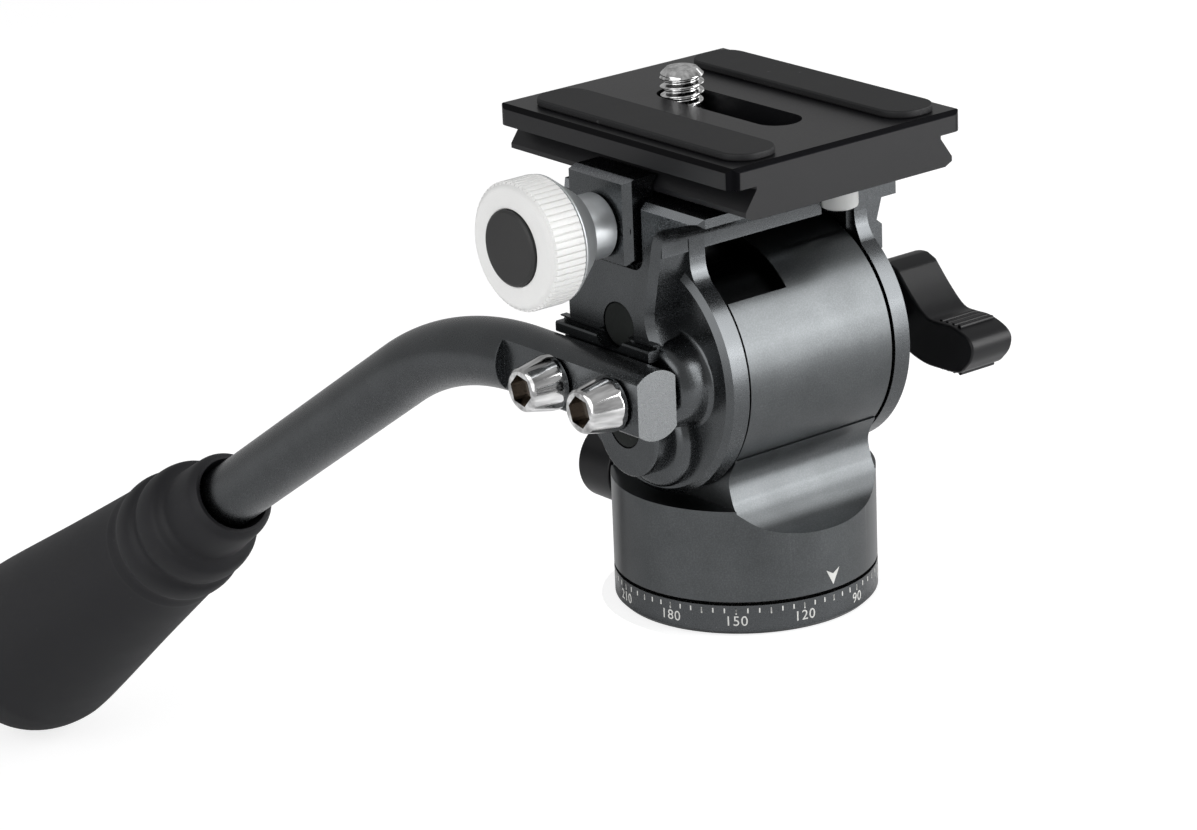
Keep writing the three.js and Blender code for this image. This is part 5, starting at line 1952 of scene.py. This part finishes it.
@dataclass
class Studio:
    """The camera, the lights and the white room; the camera's place is in millimetres."""

    focal: float = 132.108
    sensor: float = 36.0
    clip: Pair = (0.01, 10.0)
    place: Triple = (-383.932, -450.895, 233.177)
    right: Triple = (0.77405814, -0.63189111, -0.03933978)
    up: Triple = (0.23689165, 0.23144535, 0.94356526)
    back: Triple = (-0.58712549, -0.73969363, 0.32884189)
    aim: Triple = (-0.01, 0.0, 0.035)
    room_light: float = 0.4
    floor_half: float = 3.0
    floor_share: float = 0.5
    floor_glow: float = 1.5
    floor_patch: float = 90.0
    floor_colours: tuple[Triple, Triple] = ((0.86, 0.86, 0.87), (0.9, 0.9, 0.9))
    plinth: Box = (-21.0, 21.0, -21.0, 21.0, 20.9)
    plinth_gaps: Pair = (0.2, 0.12)
    lamps: tuple[tuple[str, Triple, float, float], ...] = (
        ("key", (0.42, -0.5, 0.38), 0.46, 3.3),
        ("left", (-0.9, -0.1, 0.35), 1.0, 5.4),
        ("front", (0.46, -0.7, 0.11), 0.3, 1.5),
        ("right", (0.85, 0.05, 0.3), 0.35, 0.45),
    )

    def camera(self) -> None:
        """Makes the camera at the photograph's viewpoint."""
        data = bpy.data.cameras.new("camera")
        data.lens = self.focal
        data.sensor_width = self.sensor
        data.clip_start, data.clip_end = self.clip
        camera = hosted(data, "camera")
        turn = Matrix((self.right, self.up, self.back)).transposed().to_4x4()
        camera.matrix_world = Matrix.Translation(Vector(self.place) * METRES) @ turn
        bpy.context.scene.camera = camera
        bpy.context.scene.view_settings.view_transform = "Standard"

    def lights(self) -> None:
        """Makes the lamps, each aimed at the head."""
        for name, place, size, power in self.lamps:
            data = bpy.data.lights.new(name, "AREA")
            data.shape = "SQUARE"
            data.size = size
            data.energy = power
            lamp = hosted(data, name)
            lamp.location = place
            lamp.rotation_euler = (Vector(place) - Vector(self.aim)).to_track_quat("Z", "Y").to_euler()

    def room(self) -> None:
        """Makes the world white to the camera and plain to everything else."""
        world = bpy.data.worlds.new("room")
        world.use_nodes = True
        nodes, links = world.node_tree.nodes, world.node_tree.links
        nodes.clear()
        path, seen = nodes.new("ShaderNodeLightPath"), nodes.new("ShaderNodeMath")
        seen.operation = "MAXIMUM"
        mix, output = nodes.new("ShaderNodeMixShader"), nodes.new("ShaderNodeOutputWorld")
        links.new(path.outputs["Is Camera Ray"], seen.inputs[0])
        links.new(path.outputs["Is Transmission Ray"], seen.inputs[1])
        links.new(seen.outputs[0], mix.inputs["Fac"])
        for slot, strength in ((1, self.room_light), (2, 1.0)):
            light = nodes.new("ShaderNodeBackground")
            light.inputs["Color"].default_value = (1.0, 1.0, 1.0, 1.0)
            light.inputs["Strength"].default_value = strength
            links.new(light.outputs[0], mix.inputs[slot])
        links.new(mix.outputs[0], output.inputs["Surface"])
        bpy.context.scene.world = world

    def floor_material(self) -> bpy.types.Material:
        """Makes the pale floor's material, which is white to the camera but keeps shadows."""
        tree = ShaderTree("pale floor")
        patch = tree.mixed(tree.noise(self.floor_patch), *self.floor_colours)
        lit = tree.wire(tree.node("ShaderNodeBsdfDiffuse", {}, {"Color": patch}))
        glow = tree.wire(tree.node("ShaderNodeEmission", {}, {"Strength": self.floor_glow}))
        share = tree.wire(tree.node("ShaderNodeLightPath"), "Is Camera Ray") * self.floor_share
        mix = tree.node("ShaderNodeMixShader", {}, {0: share, 1: lit, 2: glow})
        tree.node("ShaderNodeOutputMaterial", {}, {"Surface": tree.wire(mix)})
        return tree.material

    def floor(self, low: float) -> None:
        """Makes the floor under the grip and the plinth under the base.

        Args:
            low: The floor's height, in metres.
        """
        half, material = self.floor_half, self.floor_material()
        floor = bpy.data.meshes.new("floor")
        corners = [(-half, -half, low), (half, -half, low), (half, half, low), (-half, half, low)]
        floor.from_pydata(corners, [], [(0, 1, 2, 3)])
        below, above = self.plinth_gaps
        plinth = Form.prism(Axis.Z, rounded_box(*self.plinth), low / METRES + below, -above).mesh
        plinth.transform(Matrix.Scale(METRES, 4))
        for name, mesh in (("floor", floor), ("plinth", plinth)):
            mesh.materials.append(material)
            hosted(mesh, name)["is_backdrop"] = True


def dress_nodes(frame: dict[str, Any]) -> None:
    """Gives every CAD node the finish of its slot.
    """
    finishes = {finish.slot: finish for finish in SLOT_FINISHES}
    for part in frame["record"]["subparts"]:
        node = frame["nodes"][part["node"]]
        finish = finishes[part["material_slot"]]
        node.data.materials.clear()
        node.data.materials.append(finish.material())


def main() -> None:
    """Builds the head round the CAD model."""
    logging.basicConfig(level=logging.INFO, format="%(name)s: %(message)s")
    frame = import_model()
    cad_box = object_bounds()
    studio = Studio()
    studio.camera()
    studio.lights()
    studio.room()
    studio.floor(cad_box[0].z - METRES)
    dress_nodes(frame)

    copies, sweep = CopiesTree(), SweepTree()
    ring = BaseRing()
    ring.build(copies)
    PanHousing().build(ring)
    TiltFrame().build()
    PanBar().build(sweep)
    Clamp().build(copies)
    CameraPlate().build()
    tilt = {"neck": 20.9, "start": 28.5, "height": TILT_HEIGHT, "width": 8.0}
    pan = {"neck": 19.3, "start": 23.5, "height": 12.3, "turn": 90.0, "hub": 6.05}
    LockLever("tilt_lever", "tilt_lock_lever", Body.TILT_LEVER, **tilt).build(copies)
    LockLever("pan_lever", "pan_lock_lever", Body.PAN_LEVER, **pan).build(copies)


if __name__ == "__main__":
    main()
